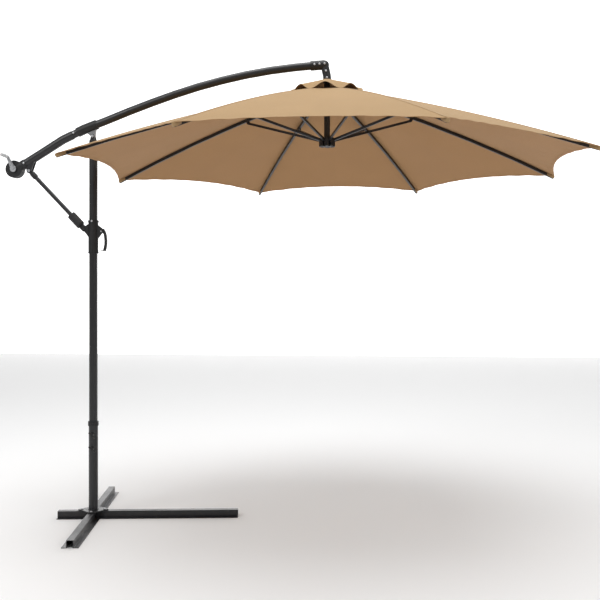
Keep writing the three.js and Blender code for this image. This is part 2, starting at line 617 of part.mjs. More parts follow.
// ================= strut =================
function strutPoint(fromFoot, up = 0) {
  return offset(STRUT_FOOT, STRUT_TOP, fromFoot, up);
}
const strutLength = Math.hypot(STRUT_TOP.x - STRUT_FOOT.x, STRUT_TOP.z - STRUT_FOOT.z);
function strutBar(from, to, radius, sides = ROUND_SIDES) {
  const a = strutPoint(from);
  const b = strutPoint(to);
  return bar([a.x, 0, a.z], [b.x, 0, b.z], radius, sides);
}
function strutPlate(from, to, half, y0, y1) {
  const corners = [[from, -half], [to, -half], [to, half], [from, half]];
  return plateXZ(corners.map(([along, up]) => {
    const p = strutPoint(along, up);
    return [p.x, p.z];
  }), y0, y1);
}
const STRUT_GRIP_END = STRUT_GRIP_START + STRUT_GRIP_LENGTH;
const HEAD_LENGTH = 52;
const HEAD_SHOULDER = 20;     // where the strut head's round part ends, short of its pivot
const HEAD_WALL = 4;
const SOCKET_DEPTH = 40;
const tubeFrom = STRUT_GRIP_END - SOCKET_DEPTH;
const tubeTo = strutLength - HEAD_LENGTH + SOCKET_DEPTH / 2;
const strutTube = strutBar(tubeFrom, tubeTo, STRUT_RADIUS)
  .subtract(strutBar(tubeFrom - OVER, tubeTo + OVER, STRUT_RADIUS - TUBE_WALL));
object.add(node('strut_tube', strutTube, steel('strut_tube')));

const strutFootPiece = strutBar(STRUT_GRIP_START, STRUT_GRIP_END, STRUT_GRIP_RADIUS)
  .add(crossBar(STRUT_FOOT, FOOT_EYE_RADIUS, -LUG_HALF, LUG_HALF, ROUND_SIDES))
  .add(strutPlate(0, STRUT_GRIP_START + OVER, FOOT_EYE_RADIUS, -LUG_HALF, LUG_HALF))
  .subtract(strutBar(tubeFrom - TOUCH_GAP, STRUT_GRIP_END + OVER, STRUT_RADIUS + TOUCH_GAP))
  .subtract(boltHole(STRUT_FOOT, PIVOT_BOLT + FOOT_PLAY, ROUND_SIDES));
object.add(node('strut_foot', strutFootPiece, plastic('strut_foot')));

const strutHead = strutBar(strutLength - HEAD_LENGTH, strutLength - HEAD_SHOULDER, STRUT_RADIUS + HEAD_WALL)
  .add(crossBar(STRUT_TOP, EYE_RADIUS, -LUG_HALF, LUG_HALF))
  .add(strutPlate(strutLength - HEAD_SHOULDER - OVER, strutLength, EYE_RADIUS, -LUG_HALF, LUG_HALF))
  .subtract(strutBar(strutLength - HEAD_LENGTH - OVER, tubeTo + TOUCH_GAP, STRUT_RADIUS + TOUCH_GAP))
  .subtract(boltHole(STRUT_TOP, PIVOT_BOLT));
object.add(node('strut_head', strutHead, plastic('strut_head')));
object.add(node('strut_head_bolt', forkBolt(STRUT_TOP, FORK_OUT), zinc('strut_head_bolt')));

// ================= slider =================
const SLIDER_BORE = MAST_RADIUS + SLIDE_GAP;
const FOOT_ROOT_DOWN = 46;    // the strut fork's root on the slider, below and above its pivot
const FOOT_ROOT_UP = 30;
const footCheeks = bothSides((y0, y1) => tab(STRUT_FOOT, EYE_RADIUS, [
  [STRUT_FOOT.x, STRUT_FOOT.z - EYE_RADIUS], [-SLIDER_BORE, STRUT_FOOT.z - FOOT_ROOT_DOWN],
  [-SLIDER_BORE, STRUT_FOOT.z + FOOT_ROOT_UP], [STRUT_FOOT.x, STRUT_FOOT.z + EYE_RADIUS],
], y0, y1));
const LEVER_FORK_IN = LEVER_HALF + TOUCH_GAP;
const LEVER_FORK_OUT = LEVER_FORK_IN + 4;
const LEVER_EYE = 10;
const LEVER_ROOT_DOWN = 42;   // the lever fork's root on the slider, below and above its pivot
const LEVER_ROOT_UP = 38;
const leverCheeks = bothSides((y0, y1) => tab(LEVER_PIVOT, LEVER_EYE, [
  [SLIDER_BORE, LEVER_PIVOT.z - LEVER_ROOT_DOWN], [LEVER_PIVOT.x, LEVER_PIVOT.z - LEVER_EYE],
  [LEVER_PIVOT.x + LEVER_EYE, LEVER_PIVOT.z], [LEVER_PIVOT.x, LEVER_PIVOT.z + 2 * LEVER_EYE],
  [SLIDER_BORE, LEVER_PIVOT.z + LEVER_ROOT_UP],
], y0, y1), LEVER_FORK_IN, LEVER_FORK_OUT);
const LEVER_PIN = 3;
const SHOE_HALF = 6;
const SHOE_RISE = 14;         // the brake shoe stands this far above the lever's pivot
const SHOE_Z = LEVER_PIVOT.z + SHOE_RISE;
const TOP_RIM = 11;
const FOOT_RIM = 6;
const shoeWindow = block(0, SLIDER_RADIUS + OVER, -SHOE_HALF - TOUCH_GAP, SHOE_HALF + TOUCH_GAP,
  SHOE_Z - SHOE_HALF - TOUCH_GAP, SHOE_Z + SHOE_HALF + TOUCH_GAP);
const slider = bar([0, 0, SLIDER_BOTTOM], [0, 0, SLIDER_TOP - OVER], SLIDER_RADIUS)
  .add(bar([0, 0, SLIDER_TOP - TOP_RIM], [0, 0, SLIDER_TOP], SLIDER_RIM))
  .add(bar([0, 0, SLIDER_BOTTOM], [0, 0, SLIDER_BOTTOM + FOOT_RIM], SLIDER_RIM))
  .add(footCheeks)
  .add(leverCheeks)
  .subtract(bar([0, 0, SLIDER_BOTTOM - OVER], [0, 0, SLIDER_TOP + OVER], SLIDER_BORE))
  .subtract(boltHole(STRUT_FOOT, PIVOT_BOLT))
  .subtract(boltHole(LEVER_PIVOT, LEVER_PIN, PIN_SIDES))
  .subtract(shoeWindow);
object.add(node('slider_collar', slider, plastic('slider_collar')));
object.add(node('strut_foot_bolt', forkBolt(STRUT_FOOT, FORK_OUT), zinc('strut_foot_bolt')));

const leverCurve = curveXZ([[LEVER_PIVOT.x, LEVER_PIVOT.z + LEVER_PIN], ...LEVER_LINE]);
const leverShape = new THREE.Shape([
  new THREE.Vector2(-LEVER_HALF, -LEVER_DEPTH / 2), new THREE.Vector2(LEVER_HALF, -LEVER_DEPTH / 2),
  new THREE.Vector2(LEVER_HALF, LEVER_DEPTH / 2), new THREE.Vector2(-LEVER_HALF, LEVER_DEPTH / 2),
]);
const leverTip = LEVER_LINE[LEVER_LINE.length - 1];
const LEVER_HUB = 8.5;
const LIP_REACH = 20;
const LIP_THICKNESS = 4;
const LIP_HALF = 6;
const lever = sweep(leverShape, leverCurve, LEVER_STEPS)
  .add(crossBar(LEVER_PIVOT, LEVER_HUB, -LEVER_HALF, LEVER_HALF))
  .add(block(leverTip[0] - LIP_REACH, leverTip[0], -LIP_HALF, LIP_HALF,
    leverTip[1], leverTip[1] + LIP_THICKNESS))
  .subtract(boltHole(LEVER_PIVOT, LEVER_PIN, PIN_SIDES));
object.add(node('slider_lever', lever, plastic('slider_lever')));

const PIN_HEAD = 5;
const PIN_HEAD_HEIGHT = 2.7;
const pinSeat = LEVER_FORK_OUT + TOUCH_GAP;
const leverPin = crossBar(LEVER_PIVOT, LEVER_PIN, -pinSeat - OVER, pinSeat + OVER, PIN_SIDES)
  .add(crossBar(LEVER_PIVOT, PIN_HEAD, -pinSeat - PIN_HEAD_HEIGHT, -pinSeat, PIN_SIDES));
object.add(node('lever_pin', leverPin, zinc('lever_pin')));

const brakeShoe = block(MAST_RADIUS + TOUCH_GAP, LEVER_PIVOT.x - LEVER_EYE - OVER, -SHOE_HALF, SHOE_HALF,
  SHOE_Z - SHOE_HALF, SHOE_Z + SHOE_HALF);
object.add(node('brake_shoe', brakeShoe, material('brake_shoe', 0x101010, 0.9, 0.0)));

// ================= elbow and pole =================
const ELBOW_COVER = 54;       // how much of the arm the elbow's sleeve covers
const LEG_STEPS = 5;
const LEG_BORE = 12;
const LEG_STRAIGHT = 34;      // straight length at each end of the leg
const AXLE_RADIUS = 2.5;
const AXLE_INSET = 6;
const WHEEL_ROOM = 1.5;
const endPoint = armAt(ARM_TO).point;
const elbowFrom = armAt(ARM_TO - ELBOW_COVER).point;
const legLean = (CANOPY_X - ELBOW.x) / 2;
const legCurve = curveXZ([
  [ELBOW.x, ELBOW.z], [ELBOW.x + legLean, ELBOW.z - LEG_STRAIGHT],
  [CANOPY_X, LEG_BOTTOM + LEG_STRAIGHT], [CANOPY_X, LEG_BOTTOM],
]);
const elbowBall = new THREE.SphereGeometry(ELBOW_RADIUS - OVER, SMALL_SIDES, SMALL_SIDES / 2);
elbowBall.translate(ELBOW.x, 0, ELBOW.z);
const pulleyAxle = { x: ELBOW.x - 2, z: ELBOW.z - PULLEY_RADIUS - CORD_RADIUS };
const armTip = armAt(ARM_TO - OVER);
const sleeveLine = (reach) => armTip.point.clone().addScaledVector(armTip.along, reach);
const sleeveStart = sleeveLine(-ELBOW_COVER - 2 * OVER);
const sleeveEnd = sleeveLine(OVER + TOUCH_GAP);
const elbow = bar([elbowFrom.x, 0, elbowFrom.z], [ELBOW.x, 0, ELBOW.z], ELBOW_RADIUS)
  .add(solid(elbowBall))
  .add(sweep(roundShape(LEG_RADIUS, SMALL_SIDES), legCurve, LEG_STEPS))
  .subtract(bar(sleeveStart.toArray(), sleeveEnd.toArray(), ARM_RADIUS + ELBOW_GAP))
  .subtract(bar([endPoint.x - OVER, 0, endPoint.z], [ELBOW.x, 0, ELBOW.z], cordWayRadius, SMALL_SIDES))
  .subtract(crossBar(pulleyAxle, PULLEY_RIM + WHEEL_ROOM, -PULLEY_HALF - OVER, PULLEY_HALF + OVER))
  .subtract(sweep(roundShape(LEG_BORE, PIN_SIDES), legCurve, LEG_STEPS))
  .subtract(bar([CANOPY_X, 0, LEG_BOTTOM - OVER], [CANOPY_X, 0, POLE_TOP + TOUCH_GAP],
    POLE_RADIUS + TOUCH_GAP))
  .add(crossBar(pulleyAxle, AXLE_RADIUS, AXLE_INSET - ELBOW_RADIUS, ELBOW_RADIUS - AXLE_INSET, PIN_SIDES));
object.add(node('elbow', elbow, plastic('elbow')));

// A grooved wheel turned about its own axle, laid along Y.
const GROOVE_EDGE = 1;
const pulleyRing = turned([
  [AXLE_RADIUS + PIN_GAP, -PULLEY_HALF], [PULLEY_RIM, -PULLEY_HALF],
  [PULLEY_RADIUS, GROOVE_EDGE - PULLEY_HALF],
  [PULLEY_RADIUS, PULLEY_HALF - GROOVE_EDGE], [PULLEY_RIM, PULLEY_HALF], [AXLE_RADIUS + PIN_GAP, PULLEY_HALF],
], SMALL_SIDES).rotate([90, 0, 0]).translate([pulleyAxle.x, 0, pulleyAxle.z]);
object.add(node('elbow_pulley', pulleyRing, plastic('elbow_pulley')));

const canopy = new THREE.Group();
canopy.name = 'canopy_group';
canopy.position.x = CANOPY_X;
object.add(canopy);

// ================= rib linkage =================
const hubPivot = { x: HUB_PIVOT_RADIUS, z: HUB_Z };
const ribTip = { x: RIB_TIP.r, z: RIB_TIP.z };
const ribChord = Math.hypot(ribTip.x - hubPivot.x, ribTip.z - hubPivot.z);

function ribPoint(along, up = 0) {
  const t = along / ribChord;
  return offset(hubPivot, ribTip, along, 4 * RIB_BOW * t * (1 - t) + up);
}

const SPOT_TOLERANCE = 1e-6;
// Distance along the rib at which the stretcher's pivot stands one stretcher length from the hub's.
function stretcherSpot() {
  let low = 0;
  let high = ribChord;
  while (high - low > SPOT_TOLERANCE) {
    const middle = (low + high) / 2;
    const p = ribPoint(middle, -STRETCHER_DROP);
    if (Math.hypot(p.x - hubPivot.x, p.z - hubPivot.z) < STRETCHER_LENGTH) low = middle;
    else high = middle;
  }
  return low;
}
const spot = stretcherSpot();
const ribPivot = ribPoint(spot, -STRETCHER_DROP);
const runnerPivot = { x: HUB_PIVOT_RADIUS, z: 2 * ribPivot.z - HUB_Z };

// The pole ends inside the open runner, just above its floor.
const poleBottom = runnerPivot.z - RUNNER_DOWN + RUNNER_FLOOR;
const pole = turned([
  [POLE_RADIUS - TUBE_WALL, poleBottom], [POLE_RADIUS, poleBottom],
  [POLE_RADIUS, POLE_TOP], [POLE_RADIUS - TUBE_WALL, POLE_TOP],
]);
canopy.add(node('centre_pole', pole, steel('centre_pole')));

function boxShape(width, depth, wall) {
  const ring = (w, d) => [[-w, -d], [w, -d], [w, d], [-w, d]].map(([a, b]) => new THREE.Vector2(a, b));
  const shape = new THREE.Shape(ring(width / 2, depth / 2));
  shape.holes.push(new THREE.Path(ring(width / 2 - wall, depth / 2 - wall)));
  return shape;
}

// The point a little beyond `from`, on the line that comes from `to`.
function stretched(from, to) {
  const beyond = new THREE.Vector3(...from).sub(new THREE.Vector3(...to)).setLength(RING_WIRE / 2);
  return beyond.add(new THREE.Vector3(...from)).toArray();
}

// One octagon of wire round the pole through every rib's root.
function ringWire(radius) {
  const reach = HUB_PIVOT_RADIUS / Math.cos(RIB_STEP / 2);
  let wire = null;
  for (let i = 0; i < RIB_COUNT; i += 1) {
    const a = (i + 0.5) * RIB_STEP;
    const b = a + RIB_STEP;
    const from = [reach * Math.cos(a), reach * Math.sin(a), HUB_Z];
    const to = [reach * Math.cos(b), reach * Math.sin(b), HUB_Z];
    const side = bar(stretched(from, to), stretched(to, from), radius, HEX_SIDES);
    wire = wire ? wire.add(side) : side;
  }
  return wire;
}

// A ring with one open slot for each rib or stretcher.
function notchedRing(core, width, z0, z1) {
  let ring = bar([0, 0, z0], [0, 0, z1], HUB_RADIUS, ROUND_SIDES);
  for (let i = 0; i < RIB_COUNT; i += 1) {
    ring = ring.subtract(block(core, HUB_RADIUS + OVER, -width / 2, width / 2, z0 - OVER, z1 + OVER)
      .rotate([0, 0, (i * RIB_STEP) / DEG]));
  }
  return ring;
}

const ribRows = [];
for (let i = 0; i < RIB_COUNT; i += 1) {
  const row = new THREE.Group();
  row.name = `rib_row_${i + 1}`;
  row.rotation.z = (i + 0.5) * RIB_STEP;
  canopy.add(row);
  ribRows.push(row);
}
const hubSet = new THREE.Group();
hubSet.name = 'hub_group';
hubSet.rotation.z = 0.5 * RIB_STEP;
canopy.add(hubSet);

const hub = notchedRing(HUB_CORE, RIB_WIDTH + 2 * NOTCH_GAP, HUB_Z - HUB_HALF, HUB_Z + HUB_HALF)
  .subtract(bar([0, 0, HUB_Z - HUB_HALF - OVER], [0, 0, HUB_Z + HUB_HALF + OVER], POLE_RADIUS + TOUCH_GAP))
  .subtract(ringWire(RING_WIRE + PIN_GAP));
hubSet.add(node('upper_hub', hub, plastic('upper_hub')));
hubSet.add(node('hub_ring_wire', ringWire(RING_WIRE), zinc('hub_ring_wire')));

const runnerFloor = poleBottom - TOUCH_GAP;
const CORD_HOLE = 3;
const runner = notchedRing(RUNNER_CORE, STRETCHER_WIDTH + 2 * NOTCH_GAP,
  runnerPivot.z - RUNNER_DOWN, runnerPivot.z + RUNNER_UP)
  .subtract(bar([0, 0, runnerFloor], [0, 0, runnerPivot.z + RUNNER_UP + OVER], POLE_RADIUS + SLIDE_GAP))
  .subtract(bar([0, 0, runnerPivot.z - RUNNER_DOWN - OVER], [0, 0, runnerFloor + OVER],
    CORD_HOLE, PIN_SIDES));
hubSet.add(node('runner', runner, plastic('runner')));

const RIB_STEPS = 5;
const BRACKET_ROOT = 15;      // half length of the rib's bracket at its root and at its eye
const BRACKET_TIP = 5;
const BRACKET_EYE = 6;
const BRACKET_WALL = 1.8;
const BRACKET_SIDES = 10;
const RIB_PIN = 2.5;
function makeRib() {
  const points = [];
  for (let k = 0; k <= RIB_STEPS; k += 1) {
    const p = ribPoint(-RIB_ROOT + ((ribChord + RIB_ROOT) * k) / RIB_STEPS);
    points.push([p.x, p.z]);
  }
  const tube = sweep(boxShape(RIB_WIDTH, RIB_DEPTH, RIB_WALL), curveXZ(points), RIB_STEPS);
  const inner = STRETCHER_WIDTH / 2 + TOUCH_GAP;
  const outer = RIB_WIDTH / 2 + BRACKET_WALL;
  const corner = (along, up) => {
    const p = ribPoint(spot + along, up);
    return [p.x, p.z];
  };
  const root = [
    corner(-BRACKET_TIP, -STRETCHER_DROP), corner(BRACKET_TIP, -STRETCHER_DROP),
    corner(BRACKET_ROOT, BRACKET_TIP), corner(-BRACKET_ROOT, BRACKET_TIP),
  ];
  const bracket = bothSides((y0, y1) => tab(ribPivot, BRACKET_EYE, root, y0, y1, BRACKET_SIDES),
    inner, outer);
  const pin = crossBar(ribPivot, RIB_PIN, -outer, outer, HEX_SIDES);
  const throat = sweep(boxCore(), curveXZ(points), RIB_STEPS);
  const wireHole = crossBar(hubPivot, RING_WIRE + PIN_GAP, -RIB_WIDTH, RIB_WIDTH, BRACKET_SIDES);
  return tube.add(bracket.subtract(throat)).add(pin).subtract(wireHole);
}

function boxCore() {
  const w = RIB_WIDTH / 2 - RIB_WALL;
  const d = RIB_DEPTH / 2 - RIB_WALL;
  return new THREE.Shape([[-w, -d], [w, -d], [w, d], [-w, d]].map(([a, b]) => new THREE.Vector2(a, b)));
}

const STRETCHER_WALL = 1;
function makeStretcher() {
  const half = STRETCHER_DEPTH / 2;
  const wide = STRETCHER_WIDTH / 2;
  const bore = half - STRETCHER_WALL;
  const span = (from, to, up, y) => plateXZ([[from, -up], [to, -up], [to, up], [from, up]].map(([a, u]) => {
    const p = offset(runnerPivot, ribPivot, a, u);
    return [p.x, p.z];
  }), -y, y);
  return span(0, STRETCHER_LENGTH, half, wide)
    .add(crossBar(runnerPivot, half, -wide, wide, BRACKET_SIDES))
    .add(crossBar(ribPivot, half, -wide, wide, BRACKET_SIDES))
    .subtract(span(-half - OVER, STRETCHER_LENGTH + half + OVER, bore, wide - STRETCHER_WALL))
    .subtract(crossBar(ribPivot, RIB_PIN + PIN_GAP, -wide - OVER, wide + OVER, BRACKET_SIDES));
}

// ================= fabric =================
// Height of the fabric's underside over a rib, at a distance from the pole's axis.
function clothZ(r) {
  const along = ((r - hubPivot.x) * ribChord) / (ribTip.x - hubPivot.x);
  const t = along / ribChord;
  const slope = (hubPivot.z - ribTip.z) / (ribTip.x - hubPivot.x);
  return hubPivot.z - (r - hubPivot.x) * slope + 4 * RIB_BOW * t * (1 - t) + RIB_DEPTH / 2 + CLOTH_LIFT;
}

// A thin closed sheet over a grid: spot(u, t) gives [x, y, z] for u from 0 to 1 and t from -1 to 1.
function sheet(spotAt, rows, columns, thickness) {
  const positions = [];
  const faces = [];
  const across = columns + 1;
  for (const lift of [0, thickness]) {
    for (let i = 0; i <= rows; i += 1) {
      for (let j = 0; j <= columns; j += 1) {
        const [x, y, z] = spotAt(i / rows, (2 * j) / columns - 1);
        positions.push(x, y, z + lift);
      }
    }
  }
  const layer = (rows + 1) * across;
  const quad = (a, b, c, d) => faces.push(a, b, c, a, c, d);
  for (let i = 0; i < rows; i += 1) {
    for (let j = 0; j < columns; j += 1) {
      const a = i * across + j;
      quad(a, a + 1, a + across + 1, a + across);
      quad(layer + a, layer + a + across, layer + a + across + 1, layer + a + 1);
    }
  }
  for (let j = 0; j < columns; j += 1) {
    const far = rows * across + j;
    quad(j, j + layer, j + layer + 1, j + 1);
    quad(far, far + 1, far + layer + 1, far + layer);
  }
  for (let i = 0; i < rows; i += 1) {
    const a = i * across;
    const b = a + columns;
    quad(a, a + across, a + across + layer, a + layer);
    quad(b, b + layer, b + across + layer, b + across);
  }
  const geometry = new THREE.BufferGeometry();
  geometry.setAttribute('position', new THREE.BufferAttribute(new Float32Array(positions), 3));
  geometry.setIndex(faces);
  return solid(geometry);
}

// Place across a section: t = 0 on the rib, t = +-1 where two sections meet.
function acrossSection(r, t) {
  const edge = r * Math.cos(HALF_STEP) * Math.sin(HALF_STEP) - TOUCH_GAP / 2 / Math.cos(HALF_STEP);
  return [r * (1 - Math.abs(t) * Math.sin(HALF_STEP) ** 2), t * edge];
}

function mainSpot(u, t) {
  const bite = (SCALLOP / Math.cos(HALF_STEP)) * (1 - (1 - Math.abs(t)) ** 2);
  const r = VENT_RADIUS + (RIM_RADIUS - bite - VENT_RADIUS) * u;
  return [...acrossSection(r, t), clothZ(r)];
}

const ARCH_POWER = 1.5;       // how the vent's opening rises from seam to mid-section
function capSpot(u, t) {
  const r = CAP_EYE + (CAP_RADIUS - CAP_EYE) * u;
  const edge = clothZ(CAP_RADIUS) + CLOTH + TOUCH_GAP;
  const fall = CAP_TOP + (edge - CAP_TOP) * u;
  const arch = CAP_ARCH * u * u * Math.abs(t) ** ARCH_POWER;
  return [...acrossSection(r, t), fall + arch + 4 * CAP_BULGE * u * (1 - u)];
}

// The stitched patch that joins the vent cap to the main fabric over the rib.
function seamSpot(u, t) {
  const r = CAP_RADIUS - OVER - CAP_SEAM * (1 - u);
  return [r, t * SEAM_HALF, clothZ(r)];
}

const SECTION_COLUMNS = 6;
const SECTION_ROWS = 5;
const CAP_ROWS = 2;
function makeCanvas() {
  const seam = sheet(seamSpot, 1, 2, SEAM_HEIGHT);
  const skin = sheet(mainSpot, SECTION_ROWS, SECTION_COLUMNS, CLOTH);
  const cap = sheet(capSpot, CAP_ROWS, SECTION_COLUMNS, CLOTH);
  return skin.add(cap).add(seam);
}

const ribShape = makeRib();
const stretcherShape = makeStretcher();
const canvasShape = makeCanvas();
ribRows.forEach((row, i) => {
  row.add(node(`rib_${i + 1}`, ribShape, steel(`rib_${i + 1}`)));
  row.add(node(`stretcher_${i + 1}`, stretcherShape, steel(`stretcher_${i + 1}`)));
  row.add(node(`canvas_${i + 1}`, canvasShape, material(`canvas_${i + 1}`, 0xc9a877, 0.9, 0.0)));
});

// ================= lift cord =================
// From the drum's lower side through the arm, over the pulley and down the pole to the runner.
const CORD_OFF_DRUM = 220;    // straight run of cord from the drum into the arm
const CORD_LOW = -60;
const CORD_HIGH = ELBOW.x - 131;
const CORD_STEPS = 9;
const WRAP_FROM = 95 * DEG;
const WRAP_TO = -2 * DEG;
const WRAP_STEPS = 4;
const armSlope = armAt(ARM_FROM + OVER).along;
const cordOffset = DRUM_RADIUS + CORD_RADIUS + TOUCH_GAP;
const cordStart = { x: WINCH.x + armSlope.z * cordOffset, z: WINCH.z - armSlope.x * cordOffset };
const cordPoints = [[cordStart.x, cordStart.z]];
cordPoints.push([cordStart.x + armSlope.x * CORD_OFF_DRUM, cordStart.z + armSlope.z * CORD_OFF_DRUM]);
for (let i = 0; i <= CORD_STEPS; i += 1) {
  const { point } = armAt(CORD_LOW + ((CORD_HIGH - CORD_LOW) * i) / CORD_STEPS);
  cordPoints.push([point.x, point.z]);
}
const wrapRadius = PULLEY_RADIUS + CORD_RADIUS + TOUCH_GAP;
for (let i = 0; i <= WRAP_STEPS; i += 1) {
  const angle = WRAP_FROM + ((WRAP_TO - WRAP_FROM) * i) / WRAP_STEPS;
  cordPoints.push([pulleyAxle.x + wrapRadius * Math.cos(angle), pulleyAxle.z + wrapRadius * Math.sin(angle)]);
}
cordPoints.push([CANOPY_X, HUB_Z + HUB_HALF], [CANOPY_X, runnerPivot.z - RUNNER_DOWN + OVER]);
const cord = threaded(cordPoints.map(([x, z]) => new THREE.Vector3(x, 0, z)), CORD_RADIUS, HEX_SIDES);
object.add(node('lift_cord', cord, material('lift_cord', 0x1a1a1a, 0.9, 0.0)));

export default object;
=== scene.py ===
"""Looks of an offset patio umbrella: fabric canopy, coated tubes, moulded fittings and bright fixings."""
import math

import bmesh
import bpy
import numpy as np
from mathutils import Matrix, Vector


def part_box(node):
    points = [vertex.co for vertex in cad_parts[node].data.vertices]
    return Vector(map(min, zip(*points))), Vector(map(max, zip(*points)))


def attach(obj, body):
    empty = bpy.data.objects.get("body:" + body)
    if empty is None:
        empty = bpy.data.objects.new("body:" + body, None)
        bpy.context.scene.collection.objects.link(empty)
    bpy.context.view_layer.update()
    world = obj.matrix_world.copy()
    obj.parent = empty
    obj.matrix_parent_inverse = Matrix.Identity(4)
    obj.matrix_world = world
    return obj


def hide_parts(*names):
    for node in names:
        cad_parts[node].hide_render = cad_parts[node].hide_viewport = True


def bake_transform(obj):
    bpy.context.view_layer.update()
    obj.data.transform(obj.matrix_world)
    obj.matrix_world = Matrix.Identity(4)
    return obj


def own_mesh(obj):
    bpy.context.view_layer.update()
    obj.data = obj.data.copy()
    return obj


bl_info = {
    "name": "Offset patio umbrella",
    "version": (1, 0, 0),
    "blender": (4, 5, 0),
    "location": "View3D > Sidebar > Umbrella",
    "description": "Builds the looks of an offset patio umbrella round its packed model",
    "category": "Add Mesh",
}

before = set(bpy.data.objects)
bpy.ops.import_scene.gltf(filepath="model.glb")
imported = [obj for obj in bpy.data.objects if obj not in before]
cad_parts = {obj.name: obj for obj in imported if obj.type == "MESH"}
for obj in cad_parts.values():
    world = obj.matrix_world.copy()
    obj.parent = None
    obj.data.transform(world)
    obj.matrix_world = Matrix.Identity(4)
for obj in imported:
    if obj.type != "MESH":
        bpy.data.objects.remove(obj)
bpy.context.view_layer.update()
UP = np.array((0.0, 0.0, 1.0))
SIDEWAYS = np.array((0.0, 1.0, 0.0))
TOWARDS_CRANK = (0.0, -1.0, 0.0)

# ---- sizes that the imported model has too; all sizes are in metres ----
RIB_COUNT = 8
HALF_STEP = math.pi / RIB_COUNT
CANOPY_X = 1.345
HUB_PIVOT = (0.034, 2.426)         # distance from the canopy's pole, and height
RIB_TIP = (1.468, 1.993)           # the same for the rib's end
RIB_BOW = 0.027
RIB_DEPTH = 0.018
CLOTH_LIFT = 0.0034                # gap between a rib and the fabric on it
CROWN_HEIGHT = 2.486
CAP_EYE = 0.028
STRUT_FOOT = (-0.052, 1.656)
STRUT_TOP = (-0.376, 1.994)
LEVER_LINE = ((0.067, 1.632), (0.073, 1.600), (0.073, 1.566), (0.065, 1.530))

# ---- fabric ----
SLANT = 1.045                      # length of the cloth down its slope against its level length
GORE_SHIFT = 1.7                   # keeps neighbouring cut pieces apart on the cloth map
SECTION_GRID = (46, 49)            # points down the slope, and across
CAP_GRID = (16, 25)
SINK_SPAN = 0.94                   # share of the sine's half turn that the dip follows from vent to rim
FLUTTER, FLUTTER_WAVES, FLUTTER_REACH = 0.0016, 9, 0.05
CAP_GAP = 0.0003
THREAD_PITCH = 0.0022
HEM_AT, HEM_STEPS = 0.994, 61      # place of the hem's middle from vent to rim, and points along it
HEM_EXTRA = 0.0010                 # how much thicker the hem is than the cloth
SEAM_INSET = (0.004, 0.006)        # how far a seam stays short of the vent and the rim
SEAM_HALF, SEAM_HEIGHT, SEAM_STEPS = 0.0075, 0.0016, 40
STRIP_TILT = 0.30                  # lean of the hems and seams along the slope
STRIP_CORNER = 0.45                # a strip's corner radius against its height
POCKET_REACH = np.array((1.420, 1.450, 1.4688, 1.4742))
POCKET_SWELL = np.array((0.94, 1.0, 0.98, 0.50))
POCKET_SIZE = (0.0155, 0.0215, 0.005)
POCKET_LIFT, POCKET_HALF = 0.0006, 0.0107
POCKET_TILT = (0.32, 0.95)         # a pocket's upward way: along the rib, and up
CAP_TILT, CAP_HEM_HALF, CAP_HEM_EXTRA = 0.45, 0.005, 0.0008
UNDER_SLOPE = 0.3                  # faces that point up less than this show the inner cloth
STITCH_ROWS = {"hem": (-0.004, 0.004), "seam": (-0.0038, 0.0038)}

# ---- small pieces ----
WELD_RADIUS, WELD_BEAD, WELD_RIPPLE, WELD_RIPPLES = 0.0268, 0.0030, 0.0004, 40
WELD_DEPTH = 0.0054                # from the foot bolts' tops down to the weld's middle
WELD_STEPS = (96, 8)               # points round the tube, and round the bead
GUSSET_TILT = 0.374                # fall of the line between the saddle's clamp and its gusset
GUSSET_FADE = (-2.2195, -2.2185)
SCREW_RIM, SCREW_DOME, SCREW_ROOT = 0.18, 0.32, 0.0006
SCREW_STEPS, SCREW_SIDES = 7, 24
SCREW_DROP = 0.0055                # of the slider's screw below its collar's top
SLEEVE_SPAN = (0.034, 0.110)       # start and end of the ribbed sleeve from the strut's foot
SLEEVE_INNER, SLEEVE_OUTER, SLEEVE_RIDGE, SLEEVE_PITCH = 0.0235, 0.0244, 0.0007, 0.0076
SLEEVE_STEPS, SLEEVE_SIDES = 115, 48
LEVER_RIB_COUNT, LEVER_RIB_ENDS, LEVER_RIB_STAND = 13, (0.010, 0.008), 0.0069
LEVER_RIB_HALF, LEVER_RIB_SIZE = 0.0066, (0.0017, 0.0014)
LEVER_RIB_STEPS, LEVER_RIB_SIDES = 5, 10
GRIP_BORE, GRIP_DEPTH = 0.0046, 0.82
GRIP_WAIST, GRIP_BELLY, GRIP_FULLNESS = 0.86, 0.12, 0.8
GRIP_GROOVE, GRIP_GROOVES, GRIP_GROOVE_EDGE, GRIP_NOSE = 0.0006, 9, 0.8, 0.07
GRIP_STEPS, GRIP_SIDES = 70, 40
MERGE_GAP = 1e-5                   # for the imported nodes
MERGE_DISTANCE, THIN_EDGE = 1e-6, 1e-7
SHARP_ANGLE, BEVEL_ANGLE = math.radians(31), math.radians(40)

# ---- stage ----
SENSOR, CAMERA_REACH = 36.0, 200.0
LIGHTS = (                         # name, place, aim, side and power
    ("key", (-3.0, -4.5, 5.6), (1.2, 0.0, 1.8), 2.4, 120.0),
    ("fill", (5.6, -4.0, 3.6), (1.2, 0.0, 1.6), 2.4, 45.0),
    ("top", (1.3, -0.6, 7.5), (1.3, 0.0, 0.0), 6.0, 400.0),
)
FLOOR_DROP, PLANE_POINTS = 0.0005, 5
BACKDROP_PLACE, BACKDROP_LOW = 0.4, -0.5

